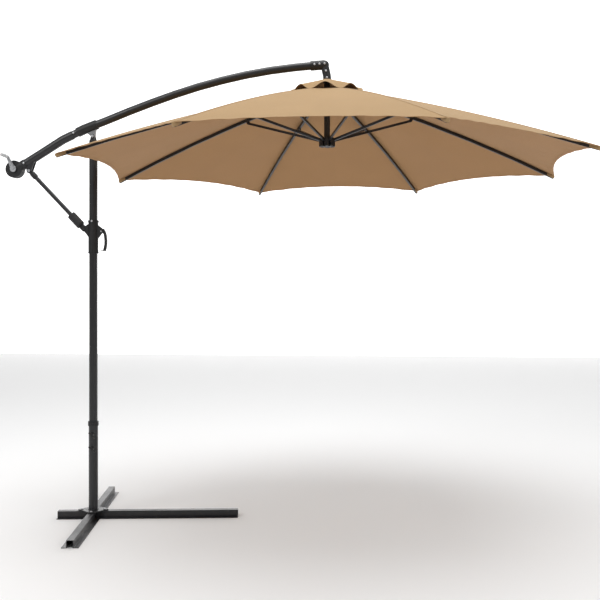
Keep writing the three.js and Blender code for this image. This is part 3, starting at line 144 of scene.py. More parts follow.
# ---- materials and the nodes that take them ----
COAT, PLASTIC, ZINC = "satin powder coat", "black grained plastic", "zinc plate"
# The inner cloth's colour is warmer than the outer's: a painted glow of light shining through the fabric.
OUTER, INNER_GLOW, HEM = "tan woven polyester", "coated underside", "stitched hem"
CORD_COLOUR, CORD_EDGE = (0.016, 0.016, 0.017), 0.0002
STEEL_NODES = (
    "base_bar_long", "base_bar_cross", "mast_foot", "mast_tube", "mast_head", "arm_tube", "arm_sleeve",
    "strut_tube", "centre_pole",
) + tuple(f"{kind}_{i}" for kind in ("rib", "stretcher") for i in range(1, RIB_COUNT + 1))
PLASTIC_NODES = (
    "socket_collar", "clamp_screw_upper", "clamp_screw_lower", "winch_housing", "strut_foot", "strut_head",
    "strut_foot_bolt", "slider_collar", "slider_lever", "elbow", "elbow_pulley", "upper_hub", "runner",
)
BRIGHT_NODES = (
    "arm_pivot_bolt", "winch_drum", "crank_arm", "strut_head_bolt", "lever_pin", "hub_ring_wire",
) + tuple(f"foot_bolt_{i}" for i in range(1, 5))


# ---- settings ----
class CanopySettings(bpy.types.PropertyGroup):
    """Sizes and colours of the fabric."""
    rim: bpy.props.FloatProperty(
        name="Rim radius", description="From the pole to the fabric's edge at a rib",
        default=1.475, unit="LENGTH")
    scallop: bpy.props.FloatProperty(
        name="Scallop", description="How far the edge curves in between two ribs",
        default=0.080, unit="LENGTH")
    vent: bpy.props.FloatProperty(
        name="Vent radius", description="Radius of the open vent under the cap",
        default=0.090, unit="LENGTH")
    cap: bpy.props.FloatProperty(
        name="Cap radius", description="Radius of the vent cap at a rib",
        default=0.212, unit="LENGTH")
    arch: bpy.props.FloatProperty(
        name="Cap arch", description="Rise of the cap's edge between two ribs",
        default=0.036, unit="LENGTH")
    bulge: bpy.props.FloatProperty(
        name="Cap bulge", description="Rise of the cap half way from crown to edge",
        default=0.008, unit="LENGTH")
    thickness: bpy.props.FloatProperty(
        name="Thickness", description="Thickness of the woven fabric",
        default=0.0012, unit="LENGTH")
    dip: bpy.props.FloatProperty(
        name="Dip", description="How far the fabric sinks between two ribs",
        default=0.009, unit="LENGTH")
    hem: bpy.props.FloatProperty(
        name="Hem width", description="Width of the turned edge",
        default=0.016, unit="LENGTH")
    keep: bpy.props.FloatProperty(
        name="Folded share", description="Share of a section's width left when the canopy is closed",
        default=0.18, subtype="FACTOR")
    colour: bpy.props.FloatVectorProperty(
        name="Fabric", description="Colour of the outer face",
        default=(0.415, 0.268, 0.128), subtype="COLOR")
    # Painted light: the underside colour is warmer and deeper than the outer colour, to paint the glow of
    # light through the cloth.
    underside: bpy.props.FloatVectorProperty(
        name="Underside", description="Colour of the inner face, with a painted warm glow of light through the cloth",
        default=(0.42, 0.235, 0.105), subtype="COLOR")


class FrameSettings(bpy.types.PropertyGroup):
    """Colours of the metal and moulded pieces, and the sizes of their small details."""
    coat: bpy.props.FloatVectorProperty(
        name="Powder coat", description="Colour of the tubes",
        default=(0.012, 0.012, 0.0135), subtype="COLOR")
    plastic: bpy.props.FloatVectorProperty(
        name="Plastic", description="Colour of the moulded fittings",
        default=(0.007, 0.007, 0.0075), subtype="COLOR")
    zinc: bpy.props.FloatVectorProperty(
        name="Zinc", description="Colour of bolts, crank and gusset",
        default=(0.66, 0.67, 0.69), subtype="COLOR")
    grip: bpy.props.FloatVectorProperty(
        name="Crank grip", description="Colour of the crank's grip",
        default=(0.52, 0.53, 0.54), subtype="COLOR")
    screw: bpy.props.FloatProperty(
        name="Screw head", description="Radius of the small screw heads",
        default=0.0055, unit="LENGTH")
    edge: bpy.props.FloatProperty(
        name="Edge", description="Width of the eased edges",
        default=0.0007, unit="LENGTH")


class StageSettings(bpy.types.PropertyGroup):
    """Camera and light."""
    eye: bpy.props.FloatVectorProperty(
        name="Camera", description="Place of the camera",
        default=(1.6166, -4.9285, 1.3253), subtype="XYZ", unit="LENGTH")
    heading: bpy.props.FloatProperty(
        name="Heading", description="Turn of the camera about the vertical",
        default=math.radians(4.92), subtype="ANGLE")
    lens: bpy.props.FloatProperty(
        name="Lens", description="Focal length on a 36 mm sensor, in millimetres",
        default=52.69)
    rise: bpy.props.FloatProperty(
        name="Shift", description="Vertical shift of the view, as a share of its width",
        default=-0.0223)
    floor: bpy.props.FloatProperty(
        name="Floor size", description="Side of the floor",
        default=60.0, unit="LENGTH")
    air: bpy.props.FloatProperty(
        name="Room light", description="Strength of the even light all round",
        default=0.36)
    screen: bpy.props.FloatProperty(
        name="Backdrop light", description="Strength of the white backdrop",
        default=1.0)


# ---- meshes ----
def face_outward(mesh):
    """Turns a closed shell's faces outward."""
    work = bmesh.new()
    work.from_mesh(mesh)
    bmesh.ops.recalc_face_normals(work, faces=work.faces)
    work.to_mesh(mesh)
    work.free()


def merge_points(mesh):
    """Merges points that coincide, as at a pole, and drops the faces that have no area."""
    work = bmesh.new()
    work.from_mesh(mesh)
    bmesh.ops.remove_doubles(work, verts=work.verts, dist=MERGE_DISTANCE)
    bmesh.ops.dissolve_degenerate(work, edges=work.edges, dist=THIN_EDGE)
    work.to_mesh(mesh)
    work.free()


def mesh_object(name, vertices, faces, material, body=None, closed=True):
    """An object from arrays of points and faces. A closed shell has its doubles merged and faces outward."""
    mesh = bpy.data.meshes.new(name)
    points = np.asarray(vertices, float).reshape(-1, 3).tolist()
    mesh.from_pydata(points, [], [list(map(int, face)) for face in faces])
    if closed:
        merge_points(mesh)
        face_outward(mesh)
    mesh.polygons.foreach_set("use_smooth", np.ones(len(mesh.polygons), bool))
    mesh.materials.append(material)
    mesh.update()
    piece = bpy.data.objects.new(name, mesh)
    bpy.context.scene.collection.objects.link(piece)
    if body:
        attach(piece, body)
    return piece


def grid_faces(rows, columns, wrap=False):
    """Four-cornered faces between neighbours of a grid; with wrap the last column meets the first."""
    index = np.arange(rows * columns).reshape(rows, columns)
    right = np.roll(index, -1, axis=1) if wrap else index[:, 1:]
    here = index if wrap else index[:, :-1]
    return np.stack([here[:-1], right[:-1], right[1:], here[1:]], axis=-1).reshape(-1, 4)


def capped_faces(rows, columns):
    """Faces of a closed profile repeated in rows, with the first and the last row filled."""
    faces = grid_faces(rows, columns, wrap=True).tolist()
    first, last = list(range(columns)), list(range((rows - 1) * columns, rows * columns))
    return faces + [first, last]


def joined(shells):
    """Several (points, faces) shells as one."""
    points, faces, start = [], [], 0
    for shell_points, shell_faces in shells:
        points.append(shell_points)
        faces.extend((np.asarray(face) + start).tolist() for face in shell_faces)
        start += len(shell_points)
    return np.concatenate(points), faces


def turn(steps):
    """Equal angles once round, without the repeated last one."""
    return np.linspace(0, 2 * math.pi, steps, endpoint=False)


def unit(vectors):
    """Vectors along the last axis, each scaled to a length of one."""
    return vectors / np.linalg.norm(vectors, axis=-1, keepdims=True)


def lathe(profile, centre, axis, sides):
    """Each (radius, height) of the profile is carried round the axis: centre + axis * height
    + radius * (side * cos a + other * sin a), with side and other square to an axis that isn't upright."""
    axis = unit(np.asarray(axis, float))
    side = unit(np.cross(axis, UP))
    other = np.cross(axis, side)
    angle = turn(sides)
    radius, height = np.asarray(profile, float).T
    ring = np.cos(angle)[:, None] * side + np.sin(angle)[:, None] * other
    points = np.asarray(centre) + height[:, None, None] * axis + radius[:, None, None] * ring
    return points.reshape(-1, 3), grid_faces(len(profile), sides, wrap=True)


def carried(path, up, profile):
    """A closed profile of (p, q) carried along a path: path + across * p + lift * q, where across is the
    tangent crossed with up and lift is across crossed with the tangent. Both ends are closed."""
    path = np.asarray(path, float)
    tangent = unit(np.gradient(path, axis=0))
    across = unit(np.cross(tangent, np.broadcast_to(np.asarray(up, float), path.shape)))
    lift = np.cross(across, tangent)
    p, q = np.asarray(profile, float).T
    points = path[:, None] + across[:, None] * p[None, :, None] + lift[:, None] * q[None, :, None]
    return points.reshape(-1, 3), capped_faces(*points.shape[:2])


def rounded(width, height, corner, steps=4):
    """Outline of a rectangle with rounded corners, as quarter circles round its four inset corners."""
    angle = np.linspace(0, math.pi / 2, steps)
    corners = ((1, 1, 0), (-1, 1, 1), (-1, -1, 2), (1, -1, 3))
    return np.concatenate([
        np.stack([sx * (width / 2 - corner) + corner * np.cos(angle + k * math.pi / 2),
                  sy * (height / 2 - corner) + corner * np.sin(angle + k * math.pi / 2)], axis=1)
        for sx, sy, k in corners
    ])


def run_along(path):
    """Distance from the start of a path to each of its points."""
    return np.concatenate([[0], np.cumsum(np.linalg.norm(np.diff(path, axis=0), axis=1))])


# ---- materials ----
class Nodes:
    """Short names for building a material's node tree."""

    def __init__(self, name, colour, roughness, metallic=0.0):
        self.material = bpy.data.materials.new(name)
        self.material.use_nodes = True
        self.tree = self.material.node_tree
        self.shader = self.tree.nodes["Principled BSDF"]
        self.dial("Base Color", (*colour, 1.0))
        self.dial("Roughness", roughness)
        self.dial("Metallic", metallic)

    def dial(self, socket, value):
        """One number or colour all over the piece."""
        self.shader.inputs[socket].default_value = value

    def drive(self, socket, source):
        """A value that changes over the piece."""
        self.link(source, self.shader.inputs[socket])

    def link(self, source, target):
        self.tree.links.new(source, target)

    def add(self, kind, **settings):
        node = self.tree.nodes.new(kind)
        for key, value in settings.items():
            setattr(node, key, value)
        return node

    def place(self):
        return self.add("ShaderNodeTexCoord").outputs["Object"]

    def cloth(self):
        return self.add("ShaderNodeUVMap", uv_map="cloth").outputs["UV"]

    def axes(self, vector):
        node = self.add("ShaderNodeSeparateXYZ")
        self.link(vector, node.inputs[0])
        return node.outputs

    def noise(self, vector, scale, detail=3.0, rough=0.5):
        node = self.add("ShaderNodeTexNoise")
        node.inputs["Scale"].default_value = scale
        node.inputs["Detail"].default_value = detail
        node.inputs["Roughness"].default_value = rough
        self.link(vector, node.inputs["Vector"])
        return node.outputs["Fac"]

    def cells(self, vector, scale, feature):
        node = self.add("ShaderNodeTexVoronoi", feature=feature)
        node.inputs["Scale"].default_value = scale
        self.link(vector, node.inputs["Vector"])
        return node.outputs["Distance"]

    def maths(self, operation, a, b=0.0):
        node = self.add("ShaderNodeMath", operation=operation)
        for socket, value in zip(node.inputs, (a, b)):
            if isinstance(value, (int, float)):
                socket.default_value = value
            else:
                self.link(value, socket)
        return node.outputs[0]

    def wave(self, value, turns):
        """Sine of a value times a number of radians per metre."""
        return self.maths("SINE", self.maths("MULTIPLY", value, turns))

    def span(self, value, source, target=(0.0, 1.0)):
        """A value's range from source's low to its high, stretched to target's."""
        node = self.add("ShaderNodeMapRange")
        self.link(value, node.inputs["Value"])
        for key, number in zip(("From Min", "From Max", "To Min", "To Max"), (*source, *target)):
            node.inputs[key].default_value = number
        return node.outputs["Result"]

    def mix(self, share, low, high):
        node = self.add("ShaderNodeMix", data_type="RGBA")
        self.link(share, node.inputs["Factor"])
        for key, value in (("A", low), ("B", high)):
            socket = next(s for s in node.inputs if s.name == key and s.type == "RGBA")
            if isinstance(value, tuple):
                socket.default_value = (*value, 1.0)
            else:
                self.link(value, socket)
        return next(s for s in node.outputs if s.type == "RGBA")

    def bump(self, height, strength, distance, under=None):
        node = self.add("ShaderNodeBump")
        node.inputs["Strength"].default_value = strength
        node.inputs["Distance"].default_value = distance
        self.link(height, node.inputs["Height"])
        if under is not None:
            self.link(under, node.inputs["Normal"])
        return node.outputs["Normal"]


def shade(colour, share):
    """A colour made darker or lighter by a share, up to full brightness."""
    return tuple(min(1.0, c * share) for c in colour)


def powder_coat(name, colour):
    """Satin coat: fine orange peel, slow cloudy change in gloss, and faint rubbed patches."""
    n = Nodes(name, colour, roughness=0.36)
    place = n.place()
    n.drive("Roughness", n.span(n.noise(place, scale=9.0), (0.3, 0.7), (0.30, 0.44)))
    rubbed = n.span(n.noise(place, scale=42.0, detail=5.0), (0.60, 0.78))
    n.drive("Base Color", n.mix(rubbed, shade(colour, 0.92), shade(colour, 2.0)))
    peel = n.noise(place, scale=900.0, detail=2.0)
    n.drive("Normal", n.bump(peel, strength=0.25, distance=0.0004))
    n.dial("Coat Weight", 0.12)
    n.dial("Coat Roughness", 0.22)
    return n.material


def moulded(name, colour):
    """Moulded plastic: a spark-eroded grain of small cells with slight dulling."""
    n = Nodes(name, colour, roughness=0.5)
    place = n.place()
    grain = n.cells(place, scale=1100.0, feature="SMOOTH_F1")
    n.drive("Normal", n.bump(grain, strength=0.3, distance=0.0003))
    n.drive("Roughness", n.span(n.noise(place, scale=24.0), (0.3, 0.7), (0.42, 0.58)))
    dust = n.span(n.noise(place, scale=70.0, detail=6.0), (0.55, 0.75))
    n.drive("Base Color", n.mix(dust, colour, shade(colour, 1.9)))
    return n.material


def plated(name, colour):
    """Zinc plate: mottled crystals, a fine grain and uneven gloss."""
    n = Nodes(name, colour, roughness=0.3, metallic=0.95)
    place = n.place()
    crystals = n.cells(place, scale=260.0, feature="F1")
    n.drive("Base Color", n.mix(crystals, shade(colour, 0.72), colour))
    n.drive("Roughness", n.span(n.noise(place, scale=60.0), (0.3, 0.7), (0.24, 0.44)))
    grain = n.noise(place, scale=1500.0, detail=2.0)
    n.drive("Normal", n.bump(grain, strength=0.2, distance=0.0002))
    return n.material


def saddle_finish(name, plastic, zinc):
    """The saddle: a moulded clamp on the arm, and a plated gusset below the line that runs under the arm."""
    n = Nodes(name, plastic, roughness=0.5)
    place = n.place()
    axes = n.axes(place)
    under = n.maths("SUBTRACT", n.maths("MULTIPLY", axes["X"], GUSSET_TILT), axes["Z"])
    gusset = n.span(under, GUSSET_FADE)
    speckle = n.span(n.noise(place, scale=420.0, detail=4.0), (0.35, 0.65))
    plate = n.mix(speckle, shade(zinc, 0.22), shade(zinc, 0.55))
    n.drive("Base Color", n.mix(gusset, plastic, plate))
    n.drive("Metallic", n.maths("MULTIPLY", gusset, 0.75))
    n.drive("Normal", n.bump(n.noise(place, scale=900.0), strength=0.3, distance=0.0003))
    return n.material


def woven(name, colour, dark=0.78):
    """Plain-woven polyester on the piece's own cloth map: threads over and under, slubs and slow fading, with
    painted shade darkening the weave's dips.
    """
    n = Nodes(name, colour, roughness=0.82)
    place = n.cloth()
    axes = n.axes(place)
    turns = 2 * math.pi / THREAD_PITCH
    weave = n.maths("MULTIPLY", n.wave(axes["X"], turns), n.wave(axes["Y"], turns))
    threads = n.bump(weave, strength=0.35, distance=0.0002)
    pucker = n.noise(place, scale=5.5, detail=2.0)
    n.drive("Normal", n.bump(pucker, strength=0.35, distance=0.006, under=threads))
    fade = n.span(n.noise(place, scale=3.2), (0.3, 0.7))
    base = n.mix(fade, shade(colour, 0.93), shade(colour, 1.05))
    slub = n.noise(place, scale=190.0, detail=4.0, rough=0.6)
    # Darker in the weave's dips, which is painted shade between the threads, and at random slubs, which is
    # the yarn's own tone.
    weave_dip_and_slub = n.span(n.maths("ADD", n.maths("MULTIPLY", weave, 0.25), slub), (0.2, 0.9))
    n.drive("Base Color", n.mix(weave_dip_and_slub, shade(colour, dark), base))
    n.dial("Sheen Weight", 0.08)
    n.dial("Sheen Roughness", 0.45)
    n.dial("Specular IOR Level", 0.15)
    return n.material


def stitched(name, colour, rows, pitch=0.0042):
    """Fabric strip with two rows of lockstitch: short raised dashes along the cloth map, each row at its
    own distance across."""
    n = Nodes(name, shade(colour, 0.93), roughness=0.85)
    cloth = n.cloth()
    axes = n.axes(cloth)
    dash = n.span(n.wave(axes["Y"], 2 * math.pi / pitch), (-0.2, 0.2))
    gaps = [n.maths("ABSOLUTE", n.maths("SUBTRACT", axes["X"], row)) for row in rows]
    first, second = (n.span(gap, (0.0004, 0.0008), (1.0, 0.0)) for gap in gaps)
    stitch = n.maths("MULTIPLY", dash, n.maths("MAXIMUM", first, second))
    n.drive("Base Color", n.mix(stitch, shade(colour, 0.90), shade(colour, 0.55)))
    weave = n.bump(n.noise(cloth, scale=700.0), strength=0.3, distance=0.0002)
    n.drive("Normal", n.bump(stitch, strength=0.8, distance=0.0005, under=weave))
    n.dial("Sheen Weight", 0.06)
    return n.material


def braided(name, colour):
    """Braided cord: crossing helical strands from two slanted waves, with painted shade in the grooves and a
    painted highlight on the crowns.
    """
    n = Nodes(name, colour, roughness=0.8)
    axes = n.axes(n.place())
    one, two = (n.wave(n.maths(way, axes["X"], axes["Z"]), 2200.0) for way in ("ADD", "SUBTRACT"))
    braid = n.maths("MULTIPLY", one, two)
    n.drive("Normal", n.bump(braid, strength=0.8, distance=0.0004))
    # Painted shade and highlight: darker in the grooves between strands, lighter on their crowns.
    n.drive("Base Color", n.mix(n.span(braid, (-1.0, 1.0)), shade(colour, 0.6), shade(colour, 1.8)))
    return n.material


def clean_edges():
    """A node group that merges a node's loose triangles and shades it smooth except across sharp edges."""
    group = bpy.data.node_groups.new("clean edges", "GeometryNodeTree")
    for way in ("INPUT", "OUTPUT"):
        group.interface.new_socket("Geometry", in_out=way, socket_type="NodeSocketGeometry")
    start, end = group.nodes.new("NodeGroupInput"), group.nodes.new("NodeGroupOutput")
    merge = group.nodes.new("GeometryNodeMergeByDistance")
    merge.inputs["Distance"].default_value = MERGE_GAP
    angle = group.nodes.new("GeometryNodeInputMeshEdgeAngle")
    sharp = group.nodes.new("FunctionNodeCompare")
    sharp.data_type, sharp.operation = "FLOAT", "GREATER_THAN"
    sharp.inputs[1].default_value = SHARP_ANGLE
    faces = group.nodes.new("GeometryNodeSetShadeSmooth")
    edges = group.nodes.new("GeometryNodeSetShadeSmooth")
    edges.domain = "EDGE"
    edges.inputs["Shade Smooth"].default_value = False
    join = group.links.new
    join(start.outputs[0], merge.inputs["Geometry"])
    join(merge.outputs[0], faces.inputs["Geometry"])
    join(faces.outputs[0], edges.inputs["Geometry"])
    join(angle.outputs["Unsigned Angle"], sharp.inputs[0])
    join(sharp.outputs[0], edges.inputs["Selection"])
    join(edges.outputs[0], end.inputs[0])
    return group


def finish_nodes(names, material, edge):
    """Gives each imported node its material, merged points and eased edges."""
    group = bpy.data.node_groups.get("clean edges") or clean_edges()
    for name in names:
        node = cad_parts[name]
        node.data.materials.clear()
        node.data.materials.append(material)
        tidy = node.modifiers.new("Clean edges", "NODES")
        tidy.node_group = group
        bevel = node.modifiers.new("Eased edges", "BEVEL")
        bevel.width, bevel.segments = edge, 2
        bevel.limit_method, bevel.angle_limit = "ANGLE", BEVEL_ANGLE
        bevel.use_clamp_overlap, bevel.harden_normals = True, True


# ---- shapes of the canopy ----
def cloth_height(r):
    """Height of the fabric's underside over a rib: a line from hub to tip, bowed up as a parabola."""
    run, fall = RIB_TIP[0] - HUB_PIVOT[0], HUB_PIVOT[1] - RIB_TIP[1]
    t = (r - HUB_PIVOT[0]) / run
    return HUB_PIVOT[1] - fall * t + 4 * RIB_BOW * t * (1 - t) + RIB_DEPTH / 2 + CLOTH_LIFT


def heading(index):
    """Level unit vectors along a rib and across it."""
    angle = (2 * index + 1) * HALF_STEP
    along = np.array((math.cos(angle), math.sin(angle), 0.0))
    return along, np.cross(UP, along)


def placed(along, across, height, index):
    """Points from distances along a rib's heading, across it and up, about the canopy's pole."""
    out, side = heading(index)
    points = along[..., None] * out + across[..., None] * side + height[..., None] * UP
    points[..., 0] += CANOPY_X
    return points


def fanned(r, t):
    """Distances along and across a rib of a cross line that is straight from seam to seam: at t = 0 it meets
    the rib at radius r, and at t = -1 and 1 it meets the middle between two ribs."""
    along = r * (1 - abs(t) * math.sin(HALF_STEP) ** 2)
    return along, t * r * math.cos(HALF_STEP) * math.sin(HALF_STEP)


def gore_map(r, t):
    """Flat place in the cut piece of cloth between two ribs: distance from its middle line, and along it.
    A section's halves belong to two cut pieces, so both maps are given: for t below and above the rib."""
    half = (1 - abs(t)) * r * math.sin(HALF_STEP)
    down = SLANT * r * math.cos(HALF_STEP)
    return np.stack([half + GORE_SHIFT, down], axis=-1), np.stack([-half, down], axis=-1)


def section_grid(s, index, grid=SECTION_GRID, u_range=(0.0, 1.0)):
    """Place of the fabric for u from vent to rim and t across a rib, with its flat cloth map. The edge bites
    in by the scallop, the cloth sinks by the dip between ribs, and it ripples a little beside its hem."""
    u = np.linspace(*u_range, grid[0])[:, None]
    t = np.linspace(-1, 1, grid[1])[None, :]
    bite = s.scallop / math.cos(HALF_STEP) * (1 - (1 - abs(t)) ** 2)
    r = s.vent + (s.rim - bite - s.vent) * u
    sink = s.dip * np.sin(math.pi * np.clip(u, 0, 1) * SINK_SPAN) * (1 - np.cos(math.pi * t)) / 2
    ripple = FLUTTER * np.sin(FLUTTER_WAVES * math.pi * t) * (1 - t ** 2)
    height = cloth_height(r) - sink + ripple * np.exp(-((1 - u) / FLUTTER_REACH) ** 2)
    return placed(*fanned(r, t), height, index), gore_map(r, t)


def cap_grid(s, index):
    """Place of the vent cap, with its cloth map: it falls from the crown to just above the fabric at a rib,
    bulges as half a sine on the way, and its edge arches up between ribs."""
    u = np.linspace(0, 1, CAP_GRID[0])[:, None]
    t = np.linspace(-1, 1, CAP_GRID[1])[None, :]
    r = CAP_EYE + (s.cap - CAP_EYE) * u
    edge = cloth_height(s.cap) + s.thickness + CAP_GAP
    arch = s.arch * u ** 2 * (1 - np.cos(math.pi * t)) / 2
    height = CROWN_HEIGHT + (edge - CROWN_HEIGHT) * u + s.bulge * np.sin(math.pi * u) + arch
    return placed(*fanned(r, t), height, index), gore_map(r + 0 * t, t)


def cloth_object(name, grid, body, thickness):
    """A sheet from a grid of places and its cloth map, facing up, with a wall grown upward. Its top takes the
    outer cloth, and its underside the inner one, whose warmer colour is a painted glow of light through the
    fabric."""
    points, cloth_map = grid
    rows, columns = points.shape[:2]
    faces = grid_faces(rows, columns)
    corners = points.reshape(-1, 3)[faces]
    if np.cross(corners[:, 1] - corners[:, 0], corners[:, 2] - corners[:, 0])[:, 2].mean() < 0:
        faces = faces[:, ::-1]
    piece = mesh_object(name, points, faces, bpy.data.materials[INNER_GLOW], body, closed=False)
    mesh = piece.data
    mesh.materials.append(bpy.data.materials[OUTER])
    mesh.polygons.foreach_set("material_index", np.ones(len(mesh.polygons), np.int32))
    below, above = (side_map.reshape(-1, 2)[faces] for side_map in cloth_map)
    first_half = (np.arange(len(faces)) % (columns - 1)) < (columns - 1) // 2
    set_cloth_map(mesh, np.where(first_half[:, None, None], below, above))
    mark_borders(mesh)
    wall = piece.modifiers.new("Fabric thickness", "SOLIDIFY")
    wall.thickness, wall.offset, wall.material_offset = thickness, 1.0, -1
    return piece


def set_cloth_map(mesh, values):
    """Gives the mesh its flat cloth map, one place for each corner of each face."""
    mesh.uv_layers.new(name="cloth").data.foreach_set("uv", values.astype(np.float32).ravel())


def mark_borders(mesh):
    """Marks the sheet's open edges sharp, so that the wall there doesn't bend the shading of its faces."""
    corner_edges = np.empty(len(mesh.loops), np.int32)
    mesh.loops.foreach_get("edge_index", corner_edges)
    uses = np.bincount(corner_edges, minlength=len(mesh.edges))
    sharp = mesh.attributes.get("sharp_edge") or mesh.attributes.new("sharp_edge", "BOOLEAN", "EDGE")
    sharp.data.foreach_set("value", uses == 1)


def strip_object(name, path, up, half, height, material, body, under=None):
    """A low rounded strip along a path, with a cloth map of distance across and along. Faces that look down
    or sideways take the material under, where one is given."""
    outline = rounded(2 * half, height, height * STRIP_CORNER, 3)
    piece = mesh_object(name, *carried(path, up, outline), material, body, closed=False)
    mesh = piece.data
    across, down = np.tile(outline[:, 0], len(path)), np.repeat(run_along(path), len(outline))
    corner_points = np.empty(len(mesh.loops), np.int32)
    mesh.loops.foreach_get("vertex_index", corner_points)
    set_cloth_map(mesh, np.stack([across, down], axis=1)[corner_points])
    face_outward(mesh)
    # The hem's down and side faces take the inner cloth, whose colour paints the glow of light through the
    # fabric.
    if under:
        mesh.materials.append(under)
        normals = np.empty((len(mesh.polygons), 3), np.float32)
        mesh.polygons.foreach_get("normal", normals.ravel())
        mesh.polygons.foreach_set("material_index", (normals[:, 2] < UNDER_SLOPE).astype(np.int32))
    return piece


def pocket_object(name, index, material, body):
    """A sewn pocket on a rib's end: a rounded outline at places along the rib, each scaled by its swell."""
    out, side = heading(index)
    level = cloth_height(POCKET_REACH) + POCKET_LIFT - POCKET_HALF * POCKET_SWELL
    centre = placed(POCKET_REACH, 0 * POCKET_REACH, level, index)
    outline = rounded(*POCKET_SIZE)
    lean = out * POCKET_TILT[0] + UP * POCKET_TILT[1]
    across, rise = (outline[:, k] * POCKET_SWELL[:, None] for k in (0, 1))
    rings = centre[:, None] + across[..., None] * side + rise[..., None] * lean
    return mesh_object(name, rings, capped_faces(*rings.shape[:2]), material, body)


# ---- small shapes ----
def weld_ring(centre_height):
    """A rippled bead round the socket, as a ring of circles: each circle's radius is the bead plus a sine of
    the angle round the tube."""
    angle, round_bead = turn(WELD_STEPS[0])[:, None], turn(WELD_STEPS[1])[None, :]
    bead = WELD_BEAD + WELD_RIPPLE * np.sin(WELD_RIPPLES * angle)
    reach = WELD_RADIUS + bead * np.cos(round_bead)
    height = centre_height + bead * np.sin(round_bead)
    points = np.stack([reach * np.cos(angle), reach * np.sin(angle), height], axis=-1)
    closed_points = np.concatenate([points, points[:1]])
    return closed_points, grid_faces(WELD_STEPS[0] + 1, WELD_STEPS[1], wrap=True)


def screw_head(centre, axis, radius):
    """A pan head: a quarter ellipse over a low cylinder, turned about the axis."""
    u = np.linspace(0, math.pi / 2, SCREW_STEPS)
    dome = np.stack([radius * np.cos(u), radius * (SCREW_RIM + SCREW_DOME * np.sin(u))], axis=1)
    profile = np.concatenate([[(0.0, -SCREW_ROOT), (radius, -SCREW_ROOT)], dome])
    return lathe(profile, centre, axis, SCREW_SIDES)


def strut_sleeve():
    """A tube round the strut's grip whose outer radius goes up and down as a sine along its length."""
    foot, top = (np.array((x, 0.0, z)) for x, z in (STRUT_FOOT, STRUT_TOP))
    h = np.linspace(*SLEEVE_SPAN, SLEEVE_STEPS)
    swell = 1 + np.sin(2 * math.pi * (h - h[0]) / SLEEVE_PITCH - math.pi / 2)
    ridges = np.stack([SLEEVE_OUTER + SLEEVE_RIDGE * swell / 2, h], axis=1)
    start, end = (SLEEVE_INNER, h[0]), (SLEEVE_INNER, h[-1])
    return lathe(np.concatenate([[start], ridges, [end, start]]), foot, top - foot, SLEEVE_SIDES)


def lever_rib_shells():
    """Short bars of elliptical section across the lever's outer face, at equal steps along it."""
    line = np.array([(x, 0.0, z) for x, z in LEVER_LINE])
    run = run_along(line)
    at = np.linspace(LEVER_RIB_ENDS[0], run[-1] - LEVER_RIB_ENDS[1], LEVER_RIB_COUNT)
    centre = np.stack([np.interp(at, run, line[:, k]) for k in range(3)], axis=1)
    outward = np.cross(unit(np.gradient(centre, axis=0)), SIDEWAYS)
    outward *= np.sign(outward[:, :1])
    angle = turn(LEVER_RIB_SIDES)
    ellipse = np.stack([np.cos(angle), np.sin(angle)], axis=1) * LEVER_RIB_SIZE
    reach = np.linspace(-LEVER_RIB_HALF, LEVER_RIB_HALF, LEVER_RIB_STEPS)[:, None] * SIDEWAYS
    spots = centre + outward * LEVER_RIB_STAND
    return [carried(spot + reach, normal, ellipse) for spot, normal in zip(spots, outward)]


def grip_shells(low, high):
    """The crank's grip and its blind bore. The radius is a belly of a sine to a power, less narrow grooves
    where a cosine peaks, and it ends in a quarter circle at the nose."""
    length, radius = high[1] - low[1], (high[0] - low[0]) / 2
    u = np.linspace(0, 1, GRIP_STEPS)
    belly = radius * (GRIP_WAIST + GRIP_BELLY * np.sin(math.pi * u) ** GRIP_FULLNESS)
    grooved = belly - GRIP_GROOVE * (np.cos(2 * math.pi * u * GRIP_GROOVES) > GRIP_GROOVE_EDGE)
    nose = np.clip((1 - u) / GRIP_NOSE, 0, 1)
    outside = np.stack([grooved * np.sqrt(1 - (1 - nose) ** 2), u * length], axis=1)
    depth = length * GRIP_DEPTH
    start = ((low[0] + high[0]) / 2, high[1], (low[2] + high[2]) / 2)
    bore = [(0.0, depth), (GRIP_BORE, depth), (GRIP_BORE, 0.0)]
    outer = np.concatenate([[(GRIP_BORE, 0.0)], outside])
    return [lathe(profile, start, TOWARDS_CRANK, GRIP_SIDES) for profile in (outer, bore)]


# ---- operators ----
class Step(bpy.types.Operator):
    """Shared behaviour of this file's operators."""
    bl_options = {"REGISTER", "UNDO"}


